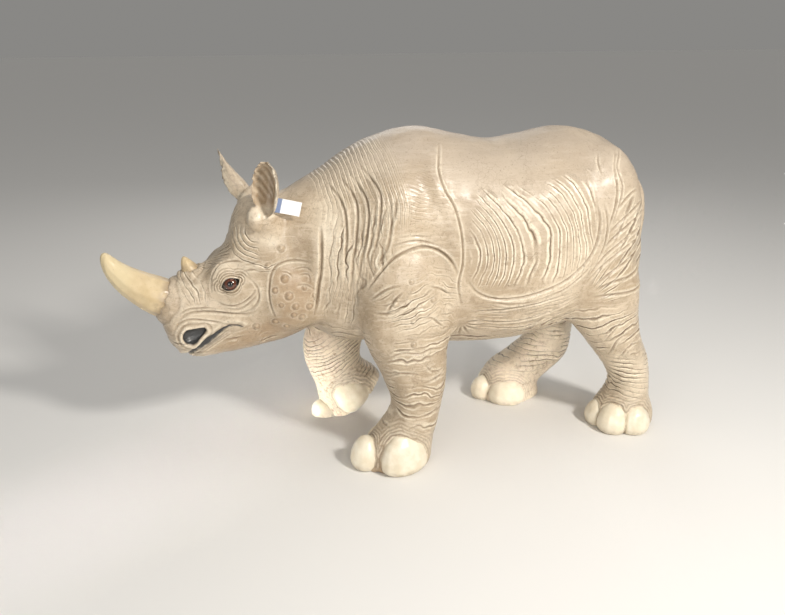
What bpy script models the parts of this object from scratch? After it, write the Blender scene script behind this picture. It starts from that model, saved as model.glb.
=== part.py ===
"""A painted resin statue of a young black rhinoceros walking, 1.86 m long, in metres with +Z up.

The animal faces -Y and its left side is +X. While it is modelled, the ground is Z = 0, the middle of
the back is X = 0, and Y = 0 is midway between the two front feet. At the end everything is moved so
that the origin is under the middle of the statue's box.

The flesh is modelled whole: lofts for the trunk, the head and the four legs, and a few swellings for
muscle and bone, are fused and smoothed into one body. Thin cuts then part it into head, neck, trunk
and legs. Horns, eyes, ears, nails, tail and the hang tag are pieces of their own, let into sockets.
"""

import math

import bmesh
import bpy
from mathutils import Matrix, Vector

# ---- driving dimensions -------------------------------------------------------------------------

FUSE_GRID = 0.009  # the grid on which the lofts are fused
SMOOTH_PASSES = 26  # how much the joins between them are rounded off
FLESH_TRIANGLES = 3900
GAP = 0.0006  # width of the cuts between neighbouring pieces of flesh
CLEARANCE = 0.0004  # round a piece that is let into the flesh
SIDES = 40  # points round each loft of the flesh
FAR = 2.0  # larger than the statue: how far the cutters reach

# colour, roughness
SKIN = ((0.58, 0.47, 0.35), 0.42)
HORN = ((0.84, 0.72, 0.48), 0.38)
NAIL = ((0.86, 0.78, 0.60), 0.35)
EYE = ((0.16, 0.05, 0.03), 0.06)
PAPER = ((0.90, 0.91, 0.93), 0.6)

ACROSS = Vector((1, 0, 0))
UP = Vector((0, 0, 1))


# ---- helpers for objects and meshes -------------------------------------------------------------


def clear_scene():
    for obj in list(bpy.data.objects):
        bpy.data.objects.remove(obj)


def paint(obj, name, look):
    """Gives the object a material of its own."""
    colour, roughness = look
    made = bpy.data.materials.new(name)
    made.use_nodes = True
    shader = made.node_tree.nodes["Principled BSDF"]
    shader.inputs["Base Color"].default_value = (*colour, 1.0)
    shader.inputs["Roughness"].default_value = roughness
    shader.inputs["Metallic"].default_value = 0.0
    obj.data.materials.clear()
    obj.data.materials.append(made)


def add_object(name, mesh_maker):
    """A new object whose mesh is what mesh_maker writes into an empty bmesh."""
    mesh = bpy.data.meshes.new(name)
    bm = bmesh.new()
    mesh_maker(bm)
    bmesh.ops.recalc_face_normals(bm, faces=bm.faces)
    bm.to_mesh(mesh)
    bm.free()
    obj = bpy.data.objects.new(name, mesh)
    bpy.context.scene.collection.objects.link(obj)
    return obj


def change_mesh(obj, change):
    bm = bmesh.new()
    bm.from_mesh(obj.data)
    change(bm)
    bm.to_mesh(obj.data)
    bm.free()


def apply_modifiers(obj):
    bpy.context.view_layer.update()
    graph = bpy.context.evaluated_depsgraph_get()
    mesh = bpy.data.meshes.new_from_object(obj.evaluated_get(graph))
    obj.modifiers.clear()
    obj.data = mesh


def boolean(obj, other, operation):
    cut = obj.modifiers.new(operation.title(), "BOOLEAN")
    cut.operation = operation
    cut.solver = "EXACT"
    cut.object = other
    apply_modifiers(obj)


def copy_of(obj, name):
    made = obj.copy()
    made.data = obj.data.copy()
    made.name = name
    bpy.context.scene.collection.objects.link(made)
    return made


def drop(*objects):
    for obj in objects:
        bpy.data.objects.remove(obj)


def grown(obj, distance):
    """A copy whose surface lies this far outside the object's own."""

    def move(bm):
        bm.normal_update()
        for vert in bm.verts:
            vert.co += vert.normal * distance

    made = copy_of(obj, obj.name + "_grown")
    change_mesh(made, move)
    return made


def let_in(piece, host):
    """Cuts a socket for the piece into its host, with a little clearance."""
    cutter = grown(piece, CLEARANCE)
    boolean(host, cutter, "DIFFERENCE")
    drop(cutter)
    keep_largest(host)


def keep_largest(obj):
    """Takes away the crumbs that a cut has left beside the piece."""

    def crumbs_off(bm):
        left = set(bm.verts)
        bodies = []
        while left:
            body = {left.pop()}
            edge = list(body)
            while edge:
                near = {link.other_vert(vert) for vert in edge for link in vert.link_edges}
                edge = list(near - body)
                body |= near
            left -= body
            bodies.append(body)
        largest = max(bodies, key=len)
        bmesh.ops.delete(bm, geom=[v for v in bm.verts if v not in largest], context="VERTS")

    change_mesh(obj, crumbs_off)


# ---- helpers for shapes -------------------------------------------------------------------------


def spline(rows, steps):
    """Rows of numbers, with steps more between each two, on a curve through all of them."""
    made = []
    last = len(rows) - 1
    for i in range(last):
        before, here, there, after = (rows[min(max(i + k, 0), last)] for k in (-1, 0, 1, 2))
        for step in range(steps):
            t = step / steps
            made.append([
                0.5 * (2 * b + (c - a) * t + (2 * a - 5 * b + 4 * c - d) * t * t
                       + (3 * b - a - 3 * c + d) * t ** 3)
                for a, b, c, d in zip(before, here, there, after)
            ])
    made.append(list(rows[last]))
    return made


def outline(centre, across, up, half_width, rise, fall, squareness=2.2, sides=SIDES):
    """One closed ring: wide by half_width each way, rise high above the centre and fall deep."""
    points = []
    for k in range(sides):
        angle = 2 * math.pi * k / sides
        c, s = math.cos(angle), math.sin(angle)
        x = half_width * math.copysign(abs(c) ** (2 / squareness), c)
        z = (rise if s > 0 else fall) * math.copysign(abs(s) ** (2 / squareness), s)
        points.append(centre + across * x + up * z)
    return points


def loft(name, rings):
    """A closed skin over rings that all have the same number of points."""

    def make(bm):
        made = [[bm.verts.new(p) for p in ring] for ring in rings]
        for low, high in zip(made, made[1:]):
            for k in range(len(low)):
                n = (k + 1) % len(low)
                bm.faces.new((low[k], low[n], high[n], high[k]))
        bm.faces.new(made[0])
        bm.faces.new(made[-1])

    return add_object(name, make)


def curved_cone(name, rows, sides, wide=1.0):
    """A round piece along a curve in the middle plane, from rows of y, z and radius."""
    rows = spline(rows, 2)
    rings = []
    for i, (y, z, radius) in enumerate(rows):
        before, after = rows[max(i - 1, 0)], rows[min(i + 1, len(rows) - 1)]
        along = Vector((0, after[0] - before[0], after[1] - before[1])).normalized()
        up = along.cross(ACROSS)
        rings.append(outline(
            Vector((0, y, z)), ACROSS, up, radius * wide, radius, radius, 2.0, sides
        ))
    return loft(name, rings)


def turned(turn):
    """The rotation by these degrees about X, then Y, then Z."""
    whole = Matrix.Identity(4)
    for axis, degrees in zip("XYZ", turn):
        whole = Matrix.Rotation(math.radians(degrees), 4, axis) @ whole
    return whole


def ellipsoid(name, centre, radii, rotation=None, segments=32, rings=20):
    place = Matrix.Translation(centre) @ (rotation or Matrix.Identity(4)) @ Matrix.Diagonal((*radii, 1))
    return add_object(
        name,
        lambda bm: bmesh.ops.create_uvsphere(
            bm, u_segments=segments, v_segments=rings, radius=1, matrix=place
        ),
    )


def both_sides(name, centre, radii, turn=(0, 0, 0)):
    """The same swelling on the left and, mirrored, on the right."""
    x, y, z = centre
    pitch, roll, yaw = turn
    return [
        ellipsoid(name + "_left", (x, y, z), radii, turned(turn)),
        ellipsoid(name + "_right", (-x, y, z), radii, turned((pitch, -roll, -yaw))),
    ]


# ---- trunk and neck -----------------------------------------------------------------------------

# y, height of the back, height of the belly, half width, height of the widest place
TRUNK = [
    (-0.31, 0.875, 0.640, 0.070, 0.76),
    (-0.24, 0.886, 0.530, 0.112, 0.71),
    (-0.17, 0.922, 0.472, 0.150, 0.69),
    (-0.09, 0.968, 0.440, 0.178, 0.68),
    (0.00, 1.024, 0.412, 0.206, 0.67),
    (0.10, 1.060, 0.385, 0.230, 0.66),
    (0.20, 1.075, 0.362, 0.250, 0.65),
    (0.32, 1.050, 0.347, 0.268, 0.62),
    (0.45, 1.024, 0.343, 0.282, 0.61),
    (0.58, 1.042, 0.354, 0.283, 0.62),
    (0.68, 1.058, 0.376, 0.272, 0.64),
    (0.77, 1.050, 0.412, 0.252, 0.67),
    (0.86, 1.014, 0.465, 0.222, 0.69),
    (0.93, 0.956, 0.530, 0.170, 0.71),
    (0.985, 0.865, 0.620, 0.095, 0.73),
]


def trunk_and_neck():
    rings = []
    for y, back, belly, half_width, widest in spline(TRUNK, 4):
        rings.append(outline(
            Vector((0, y, widest)), ACROSS, UP, half_width, back - widest, widest - belly
        ))
    return [
        loft("trunk_loft", rings),
        *both_sides("shoulder_blade", (0.095, 0.105, 0.735), (0.145, 0.175, 0.250), (0, 8, 0)),
        *both_sides("upper_arm", (0.165, 0.118, 0.595), (0.120, 0.162, 0.165)),
        *both_sides("haunch", (0.105, 0.770, 0.720), (0.155, 0.185, 0.300), (-8, 0, 0)),
        *both_sides("buttock", (0.085, 0.860, 0.640), (0.115, 0.125, 0.210), (4, 0, 0)),
        ellipsoid("breast", (0, -0.010, 0.500), (0.165, 0.170, 0.125)),
    ]


# ---- head ---------------------------------------------------------------------------------------

HEAD_ROOT = Vector((0, -0.20, 0.68))  # where the head's own axis starts, inside the neck
HEAD_DROP = math.radians(30)  # the nose points this far below level
NOSEWARD = Vector((0, -math.cos(HEAD_DROP), -math.sin(HEAD_DROP)))
BROWWARD = Vector((0, -math.sin(HEAD_DROP), math.cos(HEAD_DROP)))

# along the axis, height of the face above it, depth of the jaw below it, half width, squareness
HEAD = [
    (-0.07, 0.195, 0.090, 0.090, 2.2),
    (-0.01, 0.232, 0.180, 0.116, 2.2),
    (0.05, 0.248, 0.225, 0.127, 2.2),
    (0.11, 0.208, 0.228, 0.126, 2.3),
    (0.17, 0.152, 0.221, 0.118, 2.4),
    (0.23, 0.138, 0.203, 0.104, 2.4),
    (0.29, 0.138, 0.182, 0.092, 2.4),
    (0.34, 0.144, 0.160, 0.086, 2.4),
    (0.38, 0.148, 0.142, 0.085, 2.4),
    (0.42, 0.128, 0.124, 0.084, 2.4),
    (0.452, 0.092, 0.104, 0.076, 2.3),
    (0.476, 0.040, 0.080, 0.056, 2.2),
    (0.490, -0.012, 0.062, 0.028, 2.2),
]


def on_head(along, side, above):
    """A point in the head's own measures: along its axis, to its left, and above the axis."""
    return HEAD_ROOT + NOSEWARD * along + ACROSS * side + BROWWARD * above


def head():
    rings = []
    for along, face, jaw, half_width, squareness in spline(HEAD, 4):
        rings.append(outline(
            on_head(along, 0, 0), ACROSS, BROWWARD, half_width, face, jaw, squareness
        ))
    return [
        loft("head_loft", rings),
        *both_sides("cheek", on_head(0.080, 0.075, -0.080), (0.074, 0.115, 0.125), (20, 0, 0)),
        *both_sides("brow", on_head(0.212, 0.070, 0.098), (0.042, 0.062, 0.042), (34, 0, 0)),
        *both_sides("cheekbone", on_head(0.180, 0.078, 0.020), (0.046, 0.100, 0.046), (30, 0, 0)),
        *both_sides("nostril_wing", on_head(0.418, 0.052, -0.012), (0.046, 0.060, 0.052), (30, 0, 0)),
        *both_sides("ear_root", on_head(0.015, 0.080, 0.175), (0.055, 0.050, 0.050), (0, 0, 0)),
        ellipsoid("horn_boss", on_head(0.400, 0, 0.085), (0.074, 0.082, 0.074)),
        ellipsoid("small_horn_boss", on_head(0.315, 0, 0.110), (0.056, 0.058, 0.050)),
        ellipsoid("upper_lip", on_head(0.455, 0, -0.036), (0.056, 0.036, 0.052), turned((20, 0, 0))),
    ]


# The mouth runs round the muzzle from its left corner to the middle of the lip; the right is mirrored.
# Each row is along the head's axis, to the side, and above the axis.
MOUTH = [
    (0.268, 0.108, -0.080),
    (0.278, 0.106, -0.065),
    (0.304, 0.101, -0.053),
    (0.350, 0.096, -0.057),
    (0.400, 0.089, -0.064),
    (0.436, 0.072, -0.070),
    (0.462, 0.045, -0.076),
    (0.476, 0.018, -0.079),
    (0.479, 0.000, -0.080),
]
MOUTH_DEPTH = 0.018
MOUTH_GAPE = 0.0045  # half of the gap between the lips

NOSTRIL_PLACE = (0.399, 0.090, -0.017)
NOSTRIL_RADII = (0.020, 0.037, 0.026)
NOSTRIL_TURN = 24


def cut_mouth(skull):
    path = spline(MOUTH, 2)
    path += [(along, -side, above) for along, side, above in reversed(path[:-1])]
    points = [on_head(*row) for row in path]
    rings = []
    for i, point in enumerate(points):
        before, after = points[max(i - 1, 0)], points[min(i + 1, len(points) - 1)]
        outward = (after - before).cross(BROWWARD).normalized()
        rings.append(outline(point, outward, BROWWARD, MOUTH_DEPTH, MOUTH_GAPE, MOUTH_GAPE, 2.0, 8))
    slit = loft("slit", rings)
    boolean(skull, slit, "DIFFERENCE")
    drop(slit)


def cut_nostrils(skull):
    along, side, above = NOSTRIL_PLACE
    for x in (side, -side):
        pit = ellipsoid("pit", on_head(along, x, above), NOSTRIL_RADII, turned((NOSTRIL_TURN, 0, 0)), 12, 8)
        boolean(skull, pit, "DIFFERENCE")
        drop(pit)


# ---- legs ---------------------------------------------------------------------------------------

# Rows of x, y, z of a leg's middle, half width across, half length along, and tilt of the ring.
LEFT_FORELEG = [
    (0.155, 0.130, 0.700, 0.080, 0.110, 0),
    (0.180, 0.132, 0.600, 0.100, 0.142, 0),
    (0.198, 0.117, 0.480, 0.100, 0.150, 0),
    (0.206, 0.122, 0.390, 0.096, 0.125, 0),
    (0.211, 0.142, 0.300, 0.091, 0.104, 0),
    (0.213, 0.147, 0.210, 0.086, 0.082, 0),
    (0.214, 0.126, 0.150, 0.090, 0.090, 0),
    (0.214, 0.094, 0.090, 0.086, 0.110, 0),
    (0.214, 0.076, 0.030, 0.086, 0.122, 0),
    (0.214, 0.074, -0.060, 0.086, 0.122, 0),
]
RIGHT_FORELEG = [
    (-0.155, 0.100, 0.700, 0.080, 0.110, 0),
    (-0.180, 0.060, 0.600, 0.100, 0.142, 4),
    (-0.196, 0.015, 0.490, 0.099, 0.134, 8),
    (-0.204, -0.024, 0.390, 0.096, 0.118, 8),
    (-0.208, -0.048, 0.300, 0.094, 0.110, 4),
    (-0.210, -0.054, 0.220, 0.092, 0.104, 0),
    (-0.212, -0.026, 0.150, 0.097, 0.102, 18),
    (-0.214, 0.000, 0.100, 0.095, 0.124, 32),
    (-0.214, 0.010, 0.048, 0.095, 0.144, 40),
    (-0.214, 0.042, 0.010, 0.095, 0.150, 40),
]
LEFT_HIND_LEG = [
    (0.135, 0.790, 0.680, 0.090, 0.130, 0),
    (0.155, 0.796, 0.580, 0.102, 0.152, 0),
    (0.164, 0.814, 0.480, 0.100, 0.140, -4),
    (0.166, 0.838, 0.395, 0.095, 0.130, -10),
    (0.163, 0.902, 0.300, 0.086, 0.104, -8),
    (0.160, 0.949, 0.215, 0.079, 0.077, 0),
    (0.158, 0.963, 0.155, 0.082, 0.069, 0),
    (0.156, 0.954, 0.110, 0.090, 0.084, 0),
    (0.155, 0.948, 0.055, 0.100, 0.112, 0),
    (0.155, 0.950, -0.060, 0.100, 0.108, 0),
]
RIGHT_HIND_LEG = [
    (-0.135, 0.800, 0.680, 0.090, 0.130, 0),
    (-0.155, 0.790, 0.580, 0.102, 0.152, 0),
    (-0.162, 0.778, 0.480, 0.100, 0.140, 0),
    (-0.166, 0.776, 0.390, 0.093, 0.116, 0),
    (-0.168, 0.790, 0.300, 0.086, 0.098, -12),
    (-0.169, 0.788, 0.205, 0.082, 0.092, -38),
    (-0.170, 0.715, 0.135, 0.086, 0.084, -46),
    (-0.170, 0.656, 0.092, 0.094, 0.100, -28),
    (-0.170, 0.640, 0.045, 0.099, 0.120, -8),
    (-0.170, 0.638, -0.060, 0.099, 0.124, 0),
]


def leg(name, rows):
    rings = []
    for x, y, z, half_width, half_length, tilt in spline(rows, 4):
        lean = math.radians(tilt)
        rearward = Vector((0, math.cos(lean), math.sin(lean)))
        rings.append(outline(
            Vector((x, y, z)), ACROSS, rearward, half_width, half_length, half_length, 2.1
        ))
    return loft(name, rings)


# ---- fusing the lofts into one body -------------------------------------------------------------


def fuse(name, lumps):
    """One closed, smooth skin round all the lumps."""
    whole = lumps[0]
    bm = bmesh.new()
    for lump in lumps:
        bm.from_mesh(lump.data)
    bm.to_mesh(whole.data)
    bm.free()
    drop(*lumps[1:])
    whole.name = name
    remesh = whole.modifiers.new("Fuse", "REMESH")
    remesh.mode = "VOXEL"
    remesh.voxel_size = FUSE_GRID
    soften = whole.modifiers.new("Soften", "SMOOTH")
    soften.factor = 0.5
    soften.iterations = SMOOTH_PASSES
    apply_modifiers(whole)
    return whole


def cut_flat(piece, place=(0, 0, 0), upward=UP):
    """Takes away what lies below the floor, or below another flat."""

    def cut(bm):
        every = bm.verts[:] + bm.edges[:] + bm.faces[:]
        made = bmesh.ops.bisect_plane(
            bm, geom=every, plane_co=place, plane_no=upward, clear_inner=True
        )
        rim = [e for e in made["geom_cut"] if isinstance(e, bmesh.types.BMEdge)]
        bmesh.ops.holes_fill(bm, edges=rim)
        bmesh.ops.recalc_face_normals(bm, faces=bm.faces)

    change_mesh(piece, cut)


def simplify(whole, triangles):
    change_mesh(whole, lambda bm: bmesh.ops.triangulate(bm, faces=bm.faces[:]))
    fewer = whole.modifiers.new("Fewer", "DECIMATE")
    fewer.ratio = triangles / len(whole.data.polygons)
    apply_modifiers(whole)


# ---- parting the body ---------------------------------------------------------------------------

# Each cut is a line that the knife follows, seen from the side (y, z).
HEAD_CUT = ((-0.225, 0.940), (-0.160, 0.330))
NECK_CUT = ((0.010, 1.080), (-0.075, 0.380))

# The legs end in a slope, seen from the front, from (x, z) inside to (x, z) outside.
LEG_CUT = ((0.020, 0.370), (0.600, 0.860))

# Each leg's share of the body, seen from the side (y, z).
LEG_SHARES = {
    "front_left": ((-0.11, -FAR), (0.31, -FAR), (0.31, FAR), (-0.11, FAR)),
    "front_right": ((-0.24, -FAR), (0.24, -FAR), (0.24, FAR), (-0.24, FAR)),
    "hind_left": ((0.66, -FAR), (FAR, -FAR), (FAR, FAR), (0.66, FAR)),
    "hind_right": ((0.42, -FAR), (FAR, -FAR), (FAR, FAR), (0.66, FAR), (0.64, 0.34), (0.42, 0.24)),
}


def prism(name, corners, axis, start, end):
    """A block with these corners in the plane across the axis, from start to end along it."""

    def make(bm):
        rings = []
        for position in (start, end):
            if axis == "X":
                points = [(position, a, b) for a, b in corners]
            else:
                points = [(a, position, b) for a, b in corners]
            rings.append([bm.verts.new(p) for p in points])
        low, high = rings
        for k in range(len(low)):
            n = (k + 1) % len(low)
            bm.faces.new((low[k], low[n], high[n], high[k]))
        bm.faces.new(low)
        bm.faces.new(high)

    return add_object(name, make)


def part_forward(body, name, line, gap):
    """Takes what lies in front of the line off the body and returns it."""
    (top_y, top_z), (low_y, low_z) = line

    def block(shift):
        return prism(
            "knife",
            [(top_y + shift, top_z), (low_y + shift, low_z), (-FAR, low_z), (-FAR, top_z)],
            "X", -FAR, FAR,
        )

    taken = copy_of(body, name)
    knife = block(0)
    boolean(taken, knife, "INTERSECT")
    wider = block(gap)
    boolean(body, wider, "DIFFERENCE")
    drop(knife, wider)
    return taken


def part_leg(body, foot, gap):
    """Takes one leg off the body: its share as seen from the side, below the slope."""
    (inner_x, inner_z), (outer_x, outer_z) = LEG_CUT
    side = 1 if foot.endswith("left") else -1
    share = LEG_SHARES[foot]

    def block(grow):
        corners = [
            (inner_x - grow, -FAR), (outer_x, -FAR), (outer_x, outer_z + grow),
            (inner_x - grow, inner_z + grow),
        ]
        below = prism("knife", [(x * side, z) for x, z in corners], "Y", -FAR, FAR)
        middle = sum(y for y, z in share) / len(share)
        wider = [(y + math.copysign(grow, y - middle), z) for y, z in share]
        across = prism("share", wider, "X", -FAR, FAR)
        boolean(below, across, "INTERSECT")
        drop(across)
        return below

    taken = copy_of(body, "leg_" + foot)
    knife = block(0)
    boolean(taken, knife, "INTERSECT")
    wider = block(gap)
    boolean(body, wider, "DIFFERENCE")
    drop(knife, wider)
    return taken


# ---- eyes, horns, ears, nails, tail, tag --------------------------------------------------------

EYE_RADIUS = 0.0275
EYE_PLACE = on_head(0.214, 0.092, 0.062)

# y, z, radius
FRONT_HORN = [
    (-0.585, 0.548, 0.058),
    (-0.630, 0.570, 0.064),
    (-0.688, 0.604, 0.055),
    (-0.739, 0.645, 0.042),
    (-0.769, 0.683, 0.029),
    (-0.782, 0.713, 0.017),
    (-0.785, 0.726, 0.006),
]
REAR_HORN = [
    (-0.520, 0.616, 0.038),
    (-0.532, 0.645, 0.033),
    (-0.544, 0.674, 0.020),
    (-0.551, 0.693, 0.010),
    (-0.552, 0.699, 0.003),
]
TAIL = [
    (0.950, 0.880, 0.034),
    (1.000, 0.835, 0.031),
    (1.026, 0.770, 0.026),
    (1.032, 0.690, 0.021),
    (1.028, 0.610, 0.018),
    (1.024, 0.550, 0.021),
    (1.024, 0.500, 0.017),
    (1.026, 0.470, 0.006),
]


EAR_ROWS = 8
EAR_COLUMNS = 6
EAR_WALL = 0.0075
EAR_SWELL = 0.55  # how fast the leaf widens from its root
EAR_BOWL = 0.8  # how evenly its hollow follows its width

# Ear: root, tip, bow of its middle, the way it opens, half width, depth, how pointed it is, and the
# middle and the radii of its solid stem.
EARS = {
    "ear_left": (
        Vector((0.140, -0.312, 0.832)), Vector((0.152, -0.304, 1.006)), Vector((0, 0, 0)),
        Vector((0.79, -0.61, 0.10)), 0.044, 0.046, 0.50,
        Vector((0.106, -0.330, 0.830)), (0.031, 0.030, 0.040),
    ),
    "ear_right": (
        Vector((-0.135, -0.330, 0.832)), Vector((-0.150, -0.420, 1.006)), Vector((0, -0.015, -0.006)),
        Vector((-0.79, -0.61, 0.10)), 0.036, 0.032, 1.80,
        Vector((-0.104, -0.330, 0.838)), (0.034, 0.042, 0.050),
    ),
}


def ear(name):
    """A cupped leaf from root to tip that opens one way, on a solid stem."""
    root, tip, bow, opening, half_width, depth, pointed, stem, stem_radii = EARS[name]
    axis = (tip - root).normalized()
    opening = (opening - axis * opening.dot(axis)).normalized()
    across = axis.cross(opening)
    widest = EAR_SWELL / (EAR_SWELL + pointed)
    full = widest ** EAR_SWELL * (1 - widest) ** pointed

    def surface(u, v, inset):
        leaf = u ** EAR_SWELL * (1 - u) ** pointed / full
        bowl = leaf ** EAR_BOWL * (1 - v * v)
        place = root + (tip - root) * u + bow * math.sin(math.pi * u)
        return place + across * (half_width * leaf * v) - opening * (depth * bowl + inset)

    def make(bm):
        sheets = []
        for inset in (0, EAR_WALL):
            sheets.append([
                [
                    bm.verts.new(surface(0.02 + 0.96 * i / EAR_ROWS, -1 + 2 * j / EAR_COLUMNS, inset))
                    for j in range(EAR_COLUMNS + 1)
                ]
                for i in range(EAR_ROWS + 1)
            ])
        inner, outer = sheets
        for i in range(EAR_ROWS):
            for j in range(EAR_COLUMNS):
                for sheet in sheets:
                    bm.faces.new((sheet[i][j], sheet[i][j + 1], sheet[i + 1][j + 1], sheet[i + 1][j]))
        rim = [(0, j) for j in range(EAR_COLUMNS)]
        rim += [(i, EAR_COLUMNS) for i in range(EAR_ROWS)]
        rim += [(EAR_ROWS, j) for j in range(EAR_COLUMNS, 0, -1)]
        rim += [(i, 0) for i in range(EAR_ROWS, 0, -1)]
        for (i, j), (k, m) in zip(rim, rim[1:] + rim[:1]):
            bm.faces.new((inner[i][j], inner[k][m], outer[k][m], outer[i][j]))

    leaf = add_object(name, make)
    root_lump = ellipsoid("stem", stem, stem_radii, segments=10, rings=6)
    boolean(leaf, root_lump, "UNION")
    drop(root_lump)
    return leaf


NAIL_DEPTH = 0.050
NAIL_MIDDLE = 0.028  # height of a nail's widest place over its sole
NAIL_FALL = 0.044  # how steeply it rounds in below that: the half height of its lower part
NAIL_ROOT = 0.035  # how near to the middle of the foot its inner face comes
NAIL_BORDER = 0.003  # half of the skin between two nails
NAIL_LEAN = -5  # degrees that its top leans back

# Foot: place of the sole's middle and its tilt, then for each nail, in order round the foot, its
# direction in degrees from forward towards the left, half width, height and reach.
FEET = {
    "front_left": ((0.214, 0.070, 0), 0, [
        (-66, 0.060, 0.104, 0.072), (4, 0.058, 0.110, 0.100), (104, 0.085, 0.136, 0.073),
    ]),
    "front_right": ((-0.214, 0.010, 0.029), 40, [
        (-60, 0.056, 0.112, 0.078), (20, 0.046, 0.106, 0.104), (114, 0.069, 0.128, 0.080),
    ]),
    "hind_left": ((0.155, 0.944, 0), 0, [
        (-10, 0.056, 0.090, 0.082), (43, 0.058, 0.104, 0.088), (98, 0.058, 0.102, 0.084),
    ]),
    "hind_right": ((-0.170, 0.630, 0), 0, [
        (-62, 0.060, 0.096, 0.080), (4, 0.048, 0.088, 0.100), (68, 0.074, 0.092, 0.082),
    ]),
}


def foot_frame(foot):
    place, tilt, _ = FEET[foot]
    return Matrix.Translation(place) @ Matrix.Rotation(math.radians(tilt), 4, "X")


def outward(frame, degrees):
    """A direction from the middle of the foot, along its sole."""
    return frame.to_3x3() @ Matrix.Rotation(math.radians(degrees), 3, "Z") @ Vector((0, -1, 0))


def nail(name, foot, number):
    """One rounded toenail. Flat faces part it from its neighbours and from the foot's middle."""
    nails = FEET[foot][2]
    frame = foot_frame(foot)
    direction, half_width, height, reach = nails[number]
    place = (
        frame @ Matrix.Rotation(math.radians(direction), 4, "Z")
        @ Matrix.Translation((0, -reach, NAIL_MIDDLE)) @ Matrix.Rotation(math.radians(NAIL_LEAN), 4, "X")
    )

    def make(bm):
        made = bmesh.ops.create_uvsphere(bm, u_segments=12, v_segments=7, radius=1)
        for vert in made["verts"]:
            x, y, z = vert.co
            tall = height - NAIL_MIDDLE if z > 0 else NAIL_FALL
            vert.co = place @ Vector((x * half_width, y * NAIL_DEPTH, z * tall))

    made = add_object(name, make)
    ahead = outward(frame, direction)
    cut_flat(made, frame.translation + ahead * NAIL_ROOT, ahead)
    for other in (number - 1, number + 1):
        if 0 <= other < len(nails):
            share = half_width / (half_width + nails[other][1])
            border = direction + (nails[other][0] - direction) * share
            keep = outward(frame, border + math.copysign(90, direction - border))
            cut_flat(made, frame.translation + keep * NAIL_BORDER, keep)
    return made


TAG_LENGTH = 0.078
TAG_HEIGHT = 0.044
TAG_THICKNESS = 0.0015
TAG_PLACE = Vector((0.126, -0.235, 0.862))


def hang_tag():
    """A stiff paper label, one end in the ear's root and the other free."""
    place = (
        Matrix.Translation(TAG_PLACE) @ turned((-14, 0, 0))
        @ Matrix.Diagonal((TAG_THICKNESS, TAG_LENGTH, TAG_HEIGHT, 1))
    )
    return add_object("ear_tag", lambda bm: bmesh.ops.create_cube(bm, size=1, matrix=place))


# ---- the statue ---------------------------------------------------------------------------------


def put_origin_under_middle(pieces):
    corners = [vert.co for piece in pieces for vert in piece.data.vertices]
    low = Vector([min(corner[k] for corner in corners) for k in range(3)])
    high = Vector([max(corner[k] for corner in corners) for k in range(3)])
    shift = Vector((-(low.x + high.x) / 2, -(low.y + high.y) / 2, -low.z))
    for piece in pieces:
        piece.data.transform(Matrix.Translation(shift))


def main():
    clear_scene()
    body = fuse("trunk", trunk_and_neck() + head() + [
        leg("left_foreleg", LEFT_FORELEG),
        leg("right_foreleg", RIGHT_FORELEG),
        leg("left_hind_leg", LEFT_HIND_LEG),
        leg("right_hind_leg", RIGHT_HIND_LEG),
    ])
    simplify(body, FLESH_TRIANGLES)
    cut_flat(body)

    skull = part_forward(body, "head", HEAD_CUT, GAP)
    legs = {foot: part_leg(body, foot, GAP) for foot in FEET}
    neck = part_forward(body, "neck", NECK_CUT, GAP)
    flesh = [body, neck, skull, *legs.values()]
    for foot, (place, tilt, _) in FEET.items():
        if tilt:
            cut_flat(legs[foot], place, foot_frame(foot).to_3x3() @ UP)
    for piece in flesh:
        paint(piece, "skin_" + piece.name, SKIN)

    cut_mouth(skull)
    cut_nostrils(skull)

    others = []
    for side, sign in (("left", 1), ("right", -1)):
        eye = ellipsoid(
            "eye_" + side, Vector((EYE_PLACE.x * sign, EYE_PLACE.y, EYE_PLACE.z)),
            (EYE_RADIUS,) * 3, turned((0, 90, 0)), 12, 6,
        )
        paint(eye, eye.name, EYE)
        let_in(eye, skull)
        others.append(eye)

    ears = [ear(name) for name in EARS]
    tag = hang_tag()
    let_in(tag, ears[0])
    paint(tag, tag.name, PAPER)
    others.append(tag)
    for piece in ears:
        let_in(piece, skull)
        paint(piece, piece.name, SKIN)
        others.append(piece)

    front_horn = curved_cone("horn_front", FRONT_HORN, 10)
    rear_horn = curved_cone("horn_rear", REAR_HORN, 8)
    for horn in (front_horn, rear_horn):
        let_in(horn, skull)
        paint(horn, horn.name, HORN)
        others.append(horn)

    tail = curved_cone("tail", TAIL, 7)
    let_in(tail, body)
    paint(tail, tail.name, SKIN)
    others.append(tail)

    for foot, (place, tilt, nails) in FEET.items():
        for number in range(len(nails)):
            piece = nail(f"nail_{foot}_{number + 1}", foot, number)
            let_in(piece, legs[foot])
            cut_flat(piece)
            if tilt:
                cut_flat(piece, place, foot_frame(foot).to_3x3() @ UP)
            paint(piece, piece.name, NAIL)
            others.append(piece)

    put_origin_under_middle(flesh + others)


main()
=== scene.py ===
import math

import bmesh
import bpy
import numpy as np
from mathutils import Matrix, Vector
from mathutils.bvhtree import BVHTree
from numpy.linalg import norm


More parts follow.
